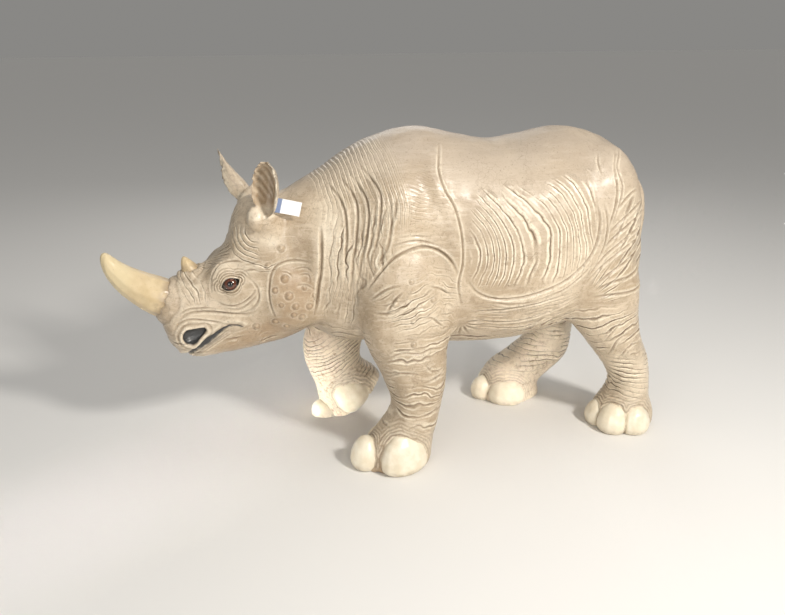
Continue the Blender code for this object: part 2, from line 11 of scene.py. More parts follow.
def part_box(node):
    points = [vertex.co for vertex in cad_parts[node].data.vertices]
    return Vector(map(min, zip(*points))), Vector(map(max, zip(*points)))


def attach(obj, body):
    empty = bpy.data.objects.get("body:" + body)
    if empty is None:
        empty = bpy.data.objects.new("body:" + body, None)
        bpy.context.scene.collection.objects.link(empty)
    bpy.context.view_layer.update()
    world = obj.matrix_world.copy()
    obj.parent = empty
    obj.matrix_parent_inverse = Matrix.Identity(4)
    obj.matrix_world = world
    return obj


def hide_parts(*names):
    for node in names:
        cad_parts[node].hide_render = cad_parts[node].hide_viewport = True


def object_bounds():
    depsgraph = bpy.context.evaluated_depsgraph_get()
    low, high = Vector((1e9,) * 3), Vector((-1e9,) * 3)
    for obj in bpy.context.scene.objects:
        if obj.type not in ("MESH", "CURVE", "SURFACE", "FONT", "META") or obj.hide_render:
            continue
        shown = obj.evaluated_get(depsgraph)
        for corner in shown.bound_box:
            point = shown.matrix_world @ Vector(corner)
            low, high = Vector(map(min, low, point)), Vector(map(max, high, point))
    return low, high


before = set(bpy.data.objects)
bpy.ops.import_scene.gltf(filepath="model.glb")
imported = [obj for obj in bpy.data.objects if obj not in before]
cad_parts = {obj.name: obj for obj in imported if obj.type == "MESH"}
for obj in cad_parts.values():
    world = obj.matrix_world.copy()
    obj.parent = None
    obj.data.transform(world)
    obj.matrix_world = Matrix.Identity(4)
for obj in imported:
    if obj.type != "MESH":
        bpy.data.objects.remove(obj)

cad_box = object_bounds()

# ---- the cast body ----
# Trunk, neck, head, ears, legs and tail of the statue are one hollow resin cast. It is laid over
# the solids as a single skin, fused on a fine grid and then eased, so that no join is left. Under
# the horns, nails and eyes the skin runs on below them, as the real cast does.

FINE_GRID = 0.0032
GRID = FINE_GRID
FLESH = [
    "trunk", "neck", "head", "leg_front_left", "leg_front_right", "leg_hind_left",
    "leg_hind_right", "ear_left", "ear_right", "tail",
]
FEET = ["front_left", "front_right", "hind_left", "hind_right"]
NAILS = [f"nail_{foot}_{number}" for foot in FEET for number in (1, 2, 3)]
HORNS = ["horn_front", "horn_rear"]
EYES = ["eye_left", "eye_right"]


def copies_as_one(name, sources):
    """One new object with the merged meshes of these nodes. It is left active and selected."""
    bpy.ops.object.select_all(action="DESELECT")
    for source in sources:
        made = bpy.data.objects.new(name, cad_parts[source].data.copy())
        bpy.context.scene.collection.objects.link(made)
        made.select_set(True)
        bpy.context.view_layer.objects.active = made
    bpy.ops.object.join()
    bpy.ops.object.mode_set(mode="EDIT")
    bpy.ops.mesh.select_all(action="SELECT")
    bpy.ops.mesh.remove_doubles(threshold=0.00001)
    bpy.ops.object.mode_set(mode="OBJECT")
    made = bpy.context.view_layer.objects.active
    made.name = name
    made.data.name = name
    made.data.materials.clear()
    return made


def apply_modifier(obj, kind, **settings):
    bpy.context.view_layer.objects.active = obj
    bpy.ops.object.modifier_add(type=kind)
    added = obj.modifiers[-1]
    for setting, value in settings.items():
        setattr(added, setting, value)
    bpy.ops.object.modifier_apply(modifier=added.name)


def points_of(obj, what="co"):
    values = np.empty(len(obj.data.vertices) * 3)
    obj.data.vertices.foreach_get(what, values)
    return values.reshape(-1, 3)


def set_points(obj, points):
    obj.data.vertices.foreach_set("co", points.ravel())
    obj.data.update()


def eased(obj, points, passes):
    """The points, smoothed over the object's mesh by passes that don't lose its bulk."""
    set_points(obj, points)
    apply_modifier(obj, "SMOOTH", factor=0.5, iterations=passes)
    smooth = points_of(obj)
    set_points(obj, points - smooth)
    apply_modifier(obj, "SMOOTH", factor=0.5, iterations=passes)
    return smooth + points_of(obj)


def ramp(value, low, high):
    """0 up to low, 1 from high on, and a soft step between them."""
    t = np.clip((value - low) / (high - low), 0, 1)
    return t * t * (3 - 2 * t)


def band(value, low, high, soft):
    return ramp(value, low - soft, low + soft) * (1 - ramp(value, high - soft, high + soft))


def hump(value, middle, width):
    """1 at the middle, with a bell-shaped fall on both sides of it."""
    return np.exp(-((value - middle) / width) ** 2)


def corners_of(node):
    """The lowest and the highest corner of a solid's box."""
    return [np.array(corner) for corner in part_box(node)]


def middle_of(node):
    return np.mean(corners_of(node), axis=0)


def tree_of(obj):
    faces = [face.vertices[:] for face in obj.data.polygons]
    return BVHTree.FromPolygons([corner.co for corner in obj.data.vertices], faces)


def gap_to(node, points, reach):
    """Distance from the points to a solid's surface, as far as reach."""
    low, high = corners_of(node)
    gaps = np.full(len(points), reach)
    close = np.flatnonzero(np.all((points > low - reach) & (points < high + reach), axis=1))
    tree = tree_of(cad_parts[node])
    for i in close:
        found = tree.find_nearest(Vector(points[i]), reach)
        if found[0] is not None:
            gaps[i] = found[3]
    return gaps


skin = copies_as_one("skin", FLESH + NAILS + HORNS + EYES)
apply_modifier(skin, "REMESH", mode="VOXEL", voxel_size=GRID)

rough = points_of(skin)
softness = (FINE_GRID / GRID) ** 2
CRISP, FINE, BROAD = 6, 20, 240  # passes of easing
crisp, fine, broad = (eased(skin, rough, round(n * softness)) for n in (CRISP, FINE, BROAD))

# Near the small features the skin keeps its finer form, and the thin ears keep theirs the most.
keep = np.zeros(len(rough))
for node in NAILS + HORNS + EYES:
    keep = np.maximum(keep, 1 - ramp(gap_to(node, rough, 0.03), 0.004, 0.028))
on_ears = np.zeros(len(rough))
for node in ("ear_left", "ear_right"):
    on_ears = np.maximum(on_ears, 1 - ramp(gap_to(node, rough, 0.02), 0.002, 0.018))

# The head's own measures: along its axis towards the nose, to the left, and above the axis.
eye_middle = np.mean([middle_of(node) for node in EYES], axis=0)
HEAD_DROP = math.radians(30)
NOSEWARD = np.array([0, -math.cos(HEAD_DROP), -math.sin(HEAD_DROP)])
BROWWARD = np.array([0, -math.sin(HEAD_DROP), math.cos(HEAD_DROP)])
LEFTWARD = np.array([1, 0, 0])
EYE_ALONG = 0.214
EYE_ABOVE = 0.062
head_root = eye_middle - NOSEWARD * EYE_ALONG - BROWWARD * EYE_ABOVE


def on_head(along, side, above):
    return head_root + NOSEWARD * along + LEFTWARD * side + BROWWARD * above


muzzle = ramp((rough - head_root) @ NOSEWARD, 0.22, 0.3) * ramp(-rough[:, 1], 0.5, 0.56)
keep = np.maximum(keep, 0.75 * muzzle)[:, None]
points = fine * keep + broad * (1 - keep)
points += (crisp - points) * on_ears[:, None]

# The thin ears are bent into deeper cups, rolled in at their rear edge.
EAR_OPENINGS = {"ear_left": (0.79, -0.61, 0.1), "ear_right": (-0.79, -0.61, 0.1)}
EAR_DEEPER = 0.011


def ear_measures(node, places):
    """Where the places are on an ear: across it towards its rear edge and up it, both from -1 to 1.
    The third value is the unit vector that the ear opens to."""
    solid = points_of(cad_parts[node])
    low, high = solid.min(axis=0), solid.max(axis=0)
    faces = np.array(EAR_OPENINGS[node])
    faces /= norm(faces)
    up = np.array([0, 0, 1]) - faces * faces[2]
    up /= norm(up)
    rearward = np.cross(up, faces) * np.sign(faces[0])
    leaf = solid[solid[:, 2] > low[2] + 0.45 * (high[2] - low[2])] @ rearward
    half_width = (leaf.max() - leaf.min()) / 2
    middle = (low + high) / 2 + np.array([0, 0, 0.016])
    v = (places @ rearward - (leaf.max() + leaf.min()) / 2) / half_width
    return v, (places - middle) @ up / ((high[2] - low[2]) / 2 - 0.016), faces


for node in EAR_OPENINGS:
    v, u, faces = ear_measures(node, points)
    cup = np.clip(1 - v ** 2, 0, 1) * band(u, -0.75, 0.8, 0.2) * on_ears * (np.abs(u) < 1.1)
    points -= faces * (EAR_DEEPER * cup)[:, None]
set_points(skin, points)


# The eyes get a closer mesh.
def split_mesh(chosen):
    """Divides the faces between the chosen points in four."""
    bm = bmesh.new()
    bm.from_mesh(skin.data)
    bm.verts.ensure_lookup_table()
    picked = {bm.verts[i] for i in np.flatnonzero(chosen)}
    edges = [edge for edge in bm.edges if edge.verts[0] in picked and edge.verts[1] in picked]
    bmesh.ops.subdivide_edges(bm, edges=edges, cuts=1, use_grid_fill=True)
    bm.to_mesh(skin.data)
    bm.free()


for radius in (0.06, 0.042):
    around = np.zeros(len(skin.data.vertices), bool)
    for node in EYES:
        around |= norm(points_of(skin) - middle_of(node), axis=1) < radius
    split_mesh(around)
points = points_of(skin)
bare = tree_of(skin)  # the smooth form, before any fold is pressed in
normals = points_of(skin, "normal")
relief = np.zeros(len(points))  # how far the surface is moved outwards
wash = np.zeros(len(points))  # dark paint that has stayed in the creases
pale_and_lit = np.zeros(len(points))  # pale paint on the ridges, and painted highlights
dark_and_shade = np.zeros(len(points))  # grey-black of nostrils, mouth and lids, and painted shade in the ears
brown_and_shade = np.zeros(len(points))  # brown of ears and cheeks, and painted shade under the jaw


def mottle(places, size, seed):
    """Smooth random values from -1 to 1 that change over about this size."""
    lattice = np.random.default_rng(seed).uniform(-1, 1, (32, 32, 32))
    scaled = places / size
    base = np.floor(scaled).astype(int)
    part = scaled - base
    part = part * part * (3 - 2 * part)
    total = np.zeros(len(places))
    for corner in np.ndindex(2, 2, 2):
        weight = np.prod(np.where(corner, part, 1 - part), axis=1)
        x, y, z = ((base + corner) % 32).T
        total += weight * lattice[x, y, z]
    return total * 1.5


def paint(layer, amount, which=slice(None)):
    """Lays paint on the chosen points, except where there is more of it already."""
    layer[which] = np.maximum(layer[which], amount)


DEEPER = 1.35  # all creases are cut this much deeper than their own depth
FULLY_PAINTED = 0.0022  # a crease this deep holds the most wash


def press(which, gap, depth, width, strength=1, rim=0.45, painted=True):
    """A crease where gap is 0, with a low ridge on both sides of it."""
    floor = hump(gap, 0, width) * strength
    ridge = hump(gap, 2.2 * width, 1.1 * width) * strength
    relief[which] += DEEPER * depth * (rim * ridge - floor)
    if painted:
        share = np.clip(depth / FULLY_PAINTED, 0, 1)
        paint(wash, floor * share, which)
        paint(pale_and_lit, ridge * share * rim * 2.2, which)


def curve(path, step=0.006):
    """Places about a step apart on a smooth curve through the path's own."""
    path = np.array(path, float)
    made = []
    for i in range(len(path) - 1):
        before, here, there, after = (path[np.clip(i + k, 0, len(path) - 1)] for k in (-1, 0, 1, 2))
        count = max(2, round(norm(there - here) / step))
        for t in np.arange(count) / count:
            made.append(0.5 * (
                2 * here + (there - before) * t
                + (2 * before - 5 * here + 4 * there - after) * t * t
                + (3 * here - before - 3 * there + after) * t ** 3
            ))
    return np.array(made + [path[-1]])


def nearest_on(line, which):
    """How far the chosen points are from a line of places, and where it is nearest to them."""
    best = np.full(len(which), np.inf)
    stretch, share = np.zeros(len(which), int), np.zeros(len(which))
    for number, (start, run) in enumerate(zip(line, np.diff(line, axis=0))):
        offset = points[which] - start
        t = np.clip(offset @ run / (run @ run), 0, 1)
        gap = norm(offset - t[:, None] * run, axis=1)
        nearer = gap < best
        best[nearer], stretch[nearer], share[nearer] = gap[nearer], number, t[nearer]
    return best, stretch, share


def press_along(line, depth, width, swell=0, swell_width=0.02, blunt=0.35):
    """Presses a crease along a line of places on the surface, fading out at its ends.

    A swell is a fold of flesh that stands up on the line's left side, seen from outside."""
    reach = max(5 * width, 3 * swell_width if swell else 0)
    inside = np.all((points > line.min(0) - reach) & (points < line.max(0) + reach), axis=1)
    which = np.flatnonzero(inside)
    if len(which) == 0 or len(line) < 2:
        return
    gap, stretch, share = nearest_on(line, which)
    run = np.diff(line, axis=0)
    passed = np.append(0, np.cumsum(norm(run, axis=1)))
    travel = passed[stretch] + share * norm(run[stretch], axis=1)
    ends = np.clip(np.minimum(travel, passed[-1] - travel) / (blunt * passed[-1]), 0, 1) ** 0.7
    press(which, gap, depth, width, ends, rim=0.4)
    if swell:
        away = points[which] - line[stretch] - share[:, None] * run[stretch]
        turn = np.einsum("ij,ij->i", np.cross(run[stretch], away), normals[which])
        lobe = hump(gap, swell_width, swell_width) * (turn * swell > 0)
        relief[which] += abs(swell) * lobe * ends * ramp(gap, 0, 2 * width)


def laid(side, places):
    """Side-view places (y, z) carried straight in from one side onto the skin."""
    line = []
    for y, z in places:
        hit = bare.ray_cast(Vector((side, y, z)), Vector((-side, 0, 0)))
        if hit[0] is not None:
            line.append(hit[0][:])
    return np.array(line)


def fold(
    path, depth=3, width=2.8, swell=0, swell_width=20, sides=(1, -1), blunt=0.35, per_metre=1000,
):
    """A crease drawn on the side view in millimetres, on both flanks unless it says which."""
    depth, width, swell, swell_width = (size / 1000 for size in (depth, width, swell, swell_width))
    for side in sides:
        line = laid(side, curve(np.array(path) / per_metre))
        if len(line) > 1:
            press_along(line, depth, width, swell * side, swell_width, blunt)


# The close wrinkles are painted from these: which one a place is on, and how strong it is there.
phases = {"coarse": np.zeros(len(points)), "fine": np.zeros(len(points))}
amounts = {"coarse": np.zeros(len(points)), "fine": np.zeros(len(points))}


def wrinkles(where, phase, spacing, depth, width, seed, bend=0.35, broken=0.7, layer="coarse"):
    """Creases at each step of phase, bent and broken up by chance. Their sizes are millimetres."""
    spacing, depth, width = spacing / 1000, depth / 1000, width / 1000
    which = np.flatnonzero(where > 0.02)
    place = points[which]
    line = phase[which] / spacing + bend * mottle(place, 0.07, seed)
    line += 0.3 * bend * mottle(place, 0.02, seed + 1)
    gap = np.abs(line - np.round(line)) * spacing
    lasting = np.clip(1 - broken + 1.1 * broken * (0.5 + mottle(place, 0.055, seed + 2)), 0, 1)
    strength = where[which] * lasting
    press(which, gap, depth, width, strength, painted=False)
    painted = strength * min(1, depth / FULLY_PAINTED)
    stronger = painted > amounts[layer][which]
    phases[layer][which[stronger]] = line[stronger]
    amounts[layer][which[stronger]] = painted[stronger]


x, y, z = points.T
side_on = ramp(np.abs(normals[:, 0]), 0.25, 0.6)


def oval(middle, half_size):
    """A soft patch on both sides of the statue, at this y and z."""
    across, up = ((value - m) / h for value, m, h in zip((y, z), middle, half_size))
    return np.exp(-(across ** 2 + up ** 2)) * side_on


# Neck: fine rings over the nape, which run down into a few deep folds behind the cheek.
neck_line = y + 0.2 * np.clip(z - 0.86, 0, 1) + 0.12 * np.clip(0.86 - z, 0, 1)
nape = band(neck_line, -0.26, -0.015, 0.03) * ramp(z, 0.76, 0.88)
wrinkles(nape, neck_line, 13.8, 1.4, 2.4, 11, bend=0.25, broken=0.4)
throat = band(neck_line, -0.235, -0.05, 0.02) * band(z, 0.5, 0.86, 0.06)
under_arch = 0.741 - 3.9 * (y - 0.03) ** 2 - z  # on the upper arm, which has its own creases
throat *= 1 - ramp(under_arch, -0.03, 0.01) * (y > -0.17)
wrinkles(throat, neck_line, 28, 2.6, 3.2, 21, bend=0.45)
fine_line = neck_line + 0.02 * z
wrinkles(throat, fine_line, 10.5, 1, 2, 25, bend=0.6, broken=0.8, layer="fine")
NECK_FOLDS = [
    [(-245, 930), (-205, 870), (-198, 793), (-205, 702), (-208, 600)],
    [(-205, 945), (-165, 875), (-172, 764), (-184, 686), (-191, 590)],
    [(-180, 965), (-137, 885), (-140, 790), (-155, 718), (-175, 620)],
    [(-150, 985), (-106, 925), (-100, 872), (-118, 752), (-145, 673)],
    [(-80, 905), (-74, 887), (-76, 800), (-88, 738), (-121, 682)],
    [(-52, 900), (-60, 855), (-75, 800)],
]
for number, path in enumerate(NECK_FOLDS):
    fold(path, depth=5.5 - 0.5 * number, width=3.4)

# Shoulder: the blade under fine cross wrinkles, and the long fold that parts it from the flank.
blade = oval((0.035, 0.865), (0.085, 0.085))
wrinkles(blade, z + 0.25 * y, 12, 0.9, 2.2, 31, bend=0.7, layer="fine")
fold(
    [(110, 1035), (88, 965), (100, 905), (126, 854), (143, 774), (146, 691),
     (134, 617), (150, 540)],
    depth=3.8, width=2.8, swell=-6, swell_width=22, blunt=0.15,
)

# Upper arm: a round lobe under a deep arched fold, with wavy creases below.
fold(
    [(-149, 615), (-109, 673), (-62, 717), (1, 741), (54, 737), (102, 705),
     (132, 650)],
    depth=5.5, width=3.4, swell=-6, swell_width=26, blunt=0.2,
)
fold([(-75, 752), (-16, 762), (32, 757), (80, 740)], depth=3.5)
fold([(-60, 776), (-10, 778), (50, 772)], depth=2, width=2.2)
fold([(-145, 580), (-99, 622), (-50, 637)], depth=3.5)
fold([(-100, 545), (-74, 591), (-48, 616)], depth=4.5)
fold([(-135, 545), (-86, 549), (-51, 569), (-20, 583)], depth=4.5)
fold([(-75, 530), (-27, 559), (25, 562)], depth=3.5)
fold([(29, 628), (75, 611), (117, 579)], depth=3.5)
fold([(10, 528), (40, 526), (62, 508), (90, 485)], depth=4)

arm_front = oval((-0.035, 0.56), (0.08, 0.075))
wrinkles(arm_front, z - 0.45 * y, 22, 2.2, 2.6, 35, bend=0.7, broken=0.9)
arm_back = oval((0.075, 0.59), (0.055, 0.11))
wrinkles(arm_back, z + 0.5 * y, 24, 1.6, 2.4, 37, bend=0.7, broken=0.9)

# Flank: curved rib-like ridges inside a long oval fold, and a plain back above them.
rib_bow = 2.4 - 6.5 * np.clip(y - 0.4, -0.1, 0.19)
rib_line = y + rib_bow * (z - 0.7) ** 2
uneven_top = 0.022 * mottle(np.stack([rib_line, x * 0, x * 0], 1), 0.025, 43)
rib_top = 0.86 + 0.16 * np.clip(y - 0.2, 0, 0.3) + uneven_top
ribs = band(y, 0.185, 0.59, 0.03) * band(z, 0.62, rib_top, 0.03) * side_on
rib_line += 0.016 * np.sin(rib_line * 24)
wrinkles(ribs, rib_line, 30, 2.8, 2.4, 41, bend=0.2, broken=0.5)
fold(
    [(159, 640), (189, 595), (239, 569), (304, 562), (386, 573), (471, 600),
     (541, 644), (590, 705), (606, 790), (590, 860)],
    depth=3, width=3, swell=-4, blunt=0.15,
)
fold([(400, 553), (481, 577), (550, 620), (590, 662)], depth=3.5)
fold([(215, 560), (300, 545), (380, 548), (430, 558)], depth=2)
fold([(620, 845), (632, 780), (622, 700), (596, 640)], depth=4)

# Belly: long folds, drawn together in a pucker behind the elbow.
fold([(165, 520), (243, 524), (339, 532), (442, 545), (521, 566)], depth=4.4)
fold([(184, 492), (286, 475), (388, 480), (489, 509), (560, 545)], depth=5)
fold([(205, 465), (330, 445), (434, 456), (520, 500)], depth=4.4)
for degrees in (-135, -110, -85, -60, -35, -12, 12):
    out_y, out_z = math.cos(math.radians(degrees)), math.sin(math.radians(degrees))
    fold(
        [(158 + 8 * out_y, 478 + 8 * out_z), (158 + 75 * out_y, 478 + 60 * out_z)],
        depth=5.2, width=3, blunt=0.6,
    )
low_flank = band(y, 0.19, 0.57, 0.03) * band(z, 0.42, 0.56, 0.03)
sagging = z - 0.6 * (y - 0.33) ** 2
wrinkles(low_flank, sagging, 13.5, 1.1, 2.2, 55, bend=0.6, broken=0.8, layer="fine")
underneath = ramp(-normals[:, 2], 0.45, 0.75) * band(y, 0.1, 0.62, 0.05) * ramp(z, 0.32, 0.34)
wrinkles(underneath, x + 0.02 * np.sin(9 * y), 34, 2.2, 3.2, 51)

# Haunch: upright creases on the croup, then long folds that fan up and back from the groin.
fold([(629, 990), (618, 960), (622, 925)], depth=2, width=2.4)
fold([(690, 995), (668, 940), (668, 870), (640, 775), (610, 710)], depth=4.5)
fold([(715, 998), (680, 950), (690, 885), (668, 822), (640, 760)], depth=3)
HAUNCH_FOLDS = [
    [(662, 815), (690, 842), (728, 866), (762, 872)],
    [(640, 748), (681, 782), (735, 812), (790, 835)],
    [(612, 690), (662, 735), (730, 775), (800, 800)],
    [(576, 610), (628, 668), (700, 720), (800, 757)],
    [(570, 586), (622, 633), (700, 686), (806, 725)],
    [(600, 566), (664, 612), (749, 652), (815, 680)],
    [(600, 552), (671, 580), (745, 592), (820, 618)],
    [(598, 530), (665, 538), (766, 540), (830, 556)],
]
for number, path in enumerate(HAUNCH_FOLDS):
    fold(path, depth=4.8 if number in (3, 4) else 3.4, width=3.4, blunt=0.25)
from_groin = np.hypot(y - 0.56, z - 0.5)
fan = np.arctan2(z - 0.5, y - 0.56)
haunch = band(from_groin, 0.09, 0.4, 0.03) * band(fan, 0.15, 1.15, 0.12)
haunch *= ramp(side_on, 0.6, 1)
wrinkles(haunch, fan * 0.26, 42, 1.8, 2.6, 65, bend=0.08, broken=0.8)
buttocks = ramp(normals[:, 1], 0.8, 0.95) * band(z, 0.5, 0.86, 0.06)
wrinkles(buttocks, z + 0.25 * np.abs(x), 42, 2, 3, 61, bend=0.2, layer="fine")

# Legs: slanting creases on the upper leg, close rings at the wrist and hock.
front_left = (x > 0) * ramp(-y, -0.16, -0.11) * ramp(-z, -0.5, -0.42)
front_right = (x < 0) * ramp(-y, -0.1, -0.04) * ramp(-z, -0.46, -0.38)
hind = ramp(y, 0.36, 0.42) * ramp(-z, -0.52, -0.44)
above_foot = ramp(z, 0.11, 0.16)
front_left *= above_foot
wrinkles(front_left, z - 0.1 * y, 33, 1.7, 2.4, 71, bend=0.45, broken=0.9)
wrinkles(front_left, z + 0.15 * y, 12.5, 0.5, 2, 75, 0.6, 0.9, layer="fine")
wrist = band(z, 0.15, 0.33, 0.03)
wrinkles(front_right * wrist, z - 0.55 * y, 17, 3.2, 3, 81, bend=0.5, broken=0.5)
wrinkles(front_right * ramp(z, 0.3, 0.36), z - 0.2 * y, 36, 2.4, 3, 85, bend=0.8)
hock = band(z, 0.125, 0.3, 0.04)
wrinkles(hind * hock, z + 0.1 * y, 18, 2.6, 2.8, 91, bend=0.5)
wrinkles(hind * ramp(z, 0.27, 0.33), z - 0.3 * y, 34, 2, 2.6, 95, bend=0.4, broken=0.85)
# Painted light: the lower parts of three legs, most of all the far ones, are painted paler, as if
# lit.
painted_light_low = np.maximum(0.9 * (x < 0), 0.45 * (y > 0.3))  # on three of the legs
paint(pale_and_lit, ramp(-z, -0.42, -0.25) * painted_light_low)
LEG_FOLDS = [
    [(-105, 395), (-58, 423), (-4, 416), (36, 426), (92, 418)],
    [(-95, 330), (-56, 353), (3, 345)],
    [(10, 316), (59, 323), (100, 345)],
    [(15, 380), (44, 350), (88, 347)],
]
for path in LEG_FOLDS:
    fold(path, depth=2.6, width=2.6, sides=(1,))
for path in [
    [(670, 360), (686, 400), (725, 446)],
    [(700, 305), (711, 370), (755, 391)],
    [(730, 285), (752, 329), (790, 363)],
]:
    fold(path, depth=4, width=3, sides=(1,))

# Feet: rings of skin stand round the nails, this far from them and this deep.
NAIL_RINGS = [
    (0.0065, 0.0022), (0.0145, 0.0018), (0.0235, 0.0015), (0.034, 0.0011), (0.046, 0.0008),
]
for foot in FEET:
    away = np.minimum.reduce([gap_to(node, points, 0.06) for node in NAILS if foot in node])
    which = np.flatnonzero((away < 0.059) & (z > 0.02))
    over = np.clip(normals[which, 2] * 0.6 + 0.75, 0.35, 1)
    uneven = away[which] - 0.003 * mottle(points[which], 0.03, 7)
    for ring, depth in NAIL_RINGS:
        press(which, np.abs(uneven - ring), depth, 0.0024, over)


# Head: brow line, lids, folds round the muzzle and the seam between jaw and neck.
def head_fold(path, depth=3, width=2.6, **form):
    """A crease drawn in the head's own millimetres, along its axis and above it, on both cheeks."""
    places = [on_head(along / 1000, 0, above / 1000)[1:] for along, above in path]
    fold(places, depth, width, per_metre=1, **form)


head_fold([(274, 73), (250, 112), (208, 130), (162, 115), (129, 83), (116, 55)],
          depth=3, swell=-3)
head_fold([(160, 98), (130, 88), (100, 78)], depth=2)
head_fold([(165, 80), (135, 70), (110, 50)], depth=2.2)
head_fold([(287, 48), (266, 14), (228, -5), (180, 1), (150, 20)], depth=2.6)
head_fold([(280, 20), (240, -18), (190, -14), (150, 4)], depth=1.8)
head_fold([(424, 48), (372, 50), (319, 21), (259, -26), (220, -50), (180, -46)],
          depth=4.2, width=3.2, swell=3, swell_width=14)
head_fold([(415, 62), (372, 63), (330, 43), (290, 14)], depth=2)
head_fold([(448, 25), (423, 40), (389, 36), (359, 15), (326, -17), (284, -58)],
          depth=3.6)
head_fold([(440, 10), (418, 25), (392, 22), (366, 4)], depth=2)
head_fold([(160, 64), (152, 21), (169, -19), (208, -38), (257, -27)], depth=2.4)
head_fold([(161, -14), (190, -38), (232, -45)], depth=1.5)
head_fold([(-112, 78), (-90, 40), (-64, -2), (-35, -45), (-8, -79),
           (35, -140), (60, -170)], depth=5.5, width=3.8, swell=-6, blunt=0.2)

# The cheek is a round pad with a crease round its front and top, and a few short ones on it.
head_fold([(-33, -9), (2, 20), (38, 37), (68, 41), (94, 28), (119, 0),
           (139, -31), (154, -68), (160, -108)], depth=2.8, swell=3, blunt=0.25)
for path in (
    [(39, 6), (-6, -10), (-17, -35)],
    [(28, -20), (-1, -32), (5, -57)],
    [(52, -41), (23, -56), (5, -87)],
    [(70, 22), (50, 4), (45, -20)],
    [(30, -98), (26, -120), (32, -142)],
):
    head_fold(path, depth=1.8, width=2)
crown = (points - head_root) @ NOSEWARD
height = (points - head_root) @ BROWWARD
from_pad = np.hypot((crown - 0.07) / 0.088, (height + 0.055) / 0.096)
pad = (1 - ramp(from_pad, 0.45, 1)) * side_on
relief += 0.005 * pad
paint(brown_and_shade, 0.85 * (1 - ramp(from_pad, 0.75, 1.05)) * side_on)
# Painted shade: brown paint under the jaw stands in for the shade there.
painted_jaw_shade = ramp(crown, 0.06, 0.14) * ramp(-height, 0.075, 0.12) * (1 - ramp(crown, 0.36, 0.42))
paint(brown_and_shade, painted_jaw_shade)
# Painted highlights: pale patches on the neck and the temple, where light would shine.
paint(pale_and_lit, 0.95 * oval((-0.245, 0.79), (0.036, 0.1)))  # pale on the neck
paint(pale_and_lit, 0.75 * oval((-0.425, 0.758), (0.04, 0.022)))  # and on the temple
forehead = band(crown, 0.02, 0.3, 0.03) * ramp(height, 0.09, 0.15) * (1 - side_on)
wrinkles(forehead, crown + 1.2 * np.abs(x), 22, 1.4, 2.6, 101, bend=0.8, broken=0.9)
bridge = band(crown, 0.295, 0.365, 0.02) * ramp(height, 0.04, 0.08)
wrinkles(bridge, crown, 16, 1.8, 2.6, 105, bend=0.5)

# Below each ear the skin hangs in drapes from the ear's root.
for side in (1, -1):
    low, high = corners_of("ear_left" if side > 0 else "ear_right")
    root = np.array([0.095 * side, (low[1] + high[1]) / 2, low[2] + 0.02])
    spread = norm((points - root) * (1, 1, 0.85), axis=1)
    drapes = band(spread, 0.05, 0.125, 0.012) * ramp(root[2] - z, 0, 0.03) * (x * side > 0.03)
    drapes *= ramp(root[1] - y, -0.085, -0.025)
    hanging = spread + 0.1 * (y - root[1])
    wrinkles(drapes, hanging, 16.5, 2.6, 3.4, 111, bend=0.45, broken=0.6)

# Warts: low round studs with a crease round each, on cheek and upper arm.
WARTS = [
    (-392, 734, 10), (-435, 682, 9), (-387, 641, 11), (-418, 607, 8), (-378, 588, 11),
    (-359, 553, 9), (-317, 549, 9), (-365, 523, 8), (-339, 513, 9), (-421, 497, 9),
    (-386, 478, 8), (-479, 479, 10), (-330, 610, 6), (-300, 585, 6), (-402, 560, 6),
    (-22, 645, 7), (48, 582, 8), (-72, 578, 9), (-19, 521, 8), (-20, 448, 8),
]
for wart_y, wart_z, millimetres in WARTS:
    for side in (1, -1):
        spot = laid(side, [(wart_y / 1000, wart_z / 1000)])
        if len(spot):
            radius = millimetres / 1000
            gap = norm(points - spot[0], axis=1)
            which = np.flatnonzero(gap < 3 * radius)
            press(which, gap[which] - radius * 1.15, 0.0011, 0.0018)
            relief[which] += 0.72 * radius * np.clip(1 - (gap[which] / radius) ** 2, 0, 1) ** 0.7

# Ears: a cup with ribs that fan up and forward from its rear edge, a dark fold, and a pale rim.
ear_rim = np.zeros(len(points))
for node in EAR_OPENINGS:
    away = gap_to(node, points, 0.03)
    which = np.flatnonzero((away < 0.029) & (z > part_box(node)[0][2] + 0.04))
    v, u, faces = ear_measures(node, points[which])
    inside = ramp(normals[which] @ faces, -0.05, 0.25) * (np.abs(v) < 1.3)
    fan = np.arctan2(u + 1.6, v - 0.9)
    gap = np.abs(fan * 9 - np.round(fan * 9)) / 9 * 0.05
    press(which, gap, 0.0013, 0.0012, inside * ramp(u, -0.45, -0.1))
    bow = 0.25 * np.cos(2.2 * u)  # how the fold behind the cup curves
    deep_fold = np.abs(v - 0.3 - bow)
    press(which, deep_fold * 0.04, 0.003, 0.003, inside * band(u, -0.75, 0.75, 0.1))
    lip = inside * ramp(v, 0.58, 0.72)  # the rolled rear edge
    relief[which] += 0.004 * lip
    paint(brown_and_shade, inside * ramp(u, -0.55 + 0.1 * v, -0.3 + 0.1 * v), which)
    brown_and_shade[which] *= 1 - lip
    # The lip and the lower cup are painted pale: cream paint, and on the lower cup also a painted
    # highlight.
    paint(pale_and_lit, np.maximum(lip, 0.8 * inside * (1 - ramp(u, -0.6, -0.42))), which)
    # Painted shade: the cup's far wall, behind the fold, is painted darker.
    painted_shade_behind = inside * ramp(v, 0.4 + bow, 0.55 + bow) * ramp(u, -0.9, -0.5)
    paint(dark_and_shade, 0.3 * painted_shade_behind * (1 - lip), which)
    outside = ramp(-(normals[which] @ faces), 0.1, 0.5)
    wrinkle = np.abs(v / 0.28 - np.round(v / 0.28)) * 0.011
    press(which, wrinkle, 0.0007, 0.0018, outside * 0.6)
    edge = ramp(1 - np.abs(normals[which] @ faces), 0.4, 0.85)
    paint(ear_rim, edge * (np.hypot(u, v) > 0.6) * (np.abs(v) < 1.3), which)
    ragged = ramp(mottle(points[which], 0.006, 123), 0, 0.5) * edge * ramp(u, 0, 0.4)
    relief[which] -= 0.0022 * ragged
    paint(dark_and_shade, 0.6 * ragged, which)

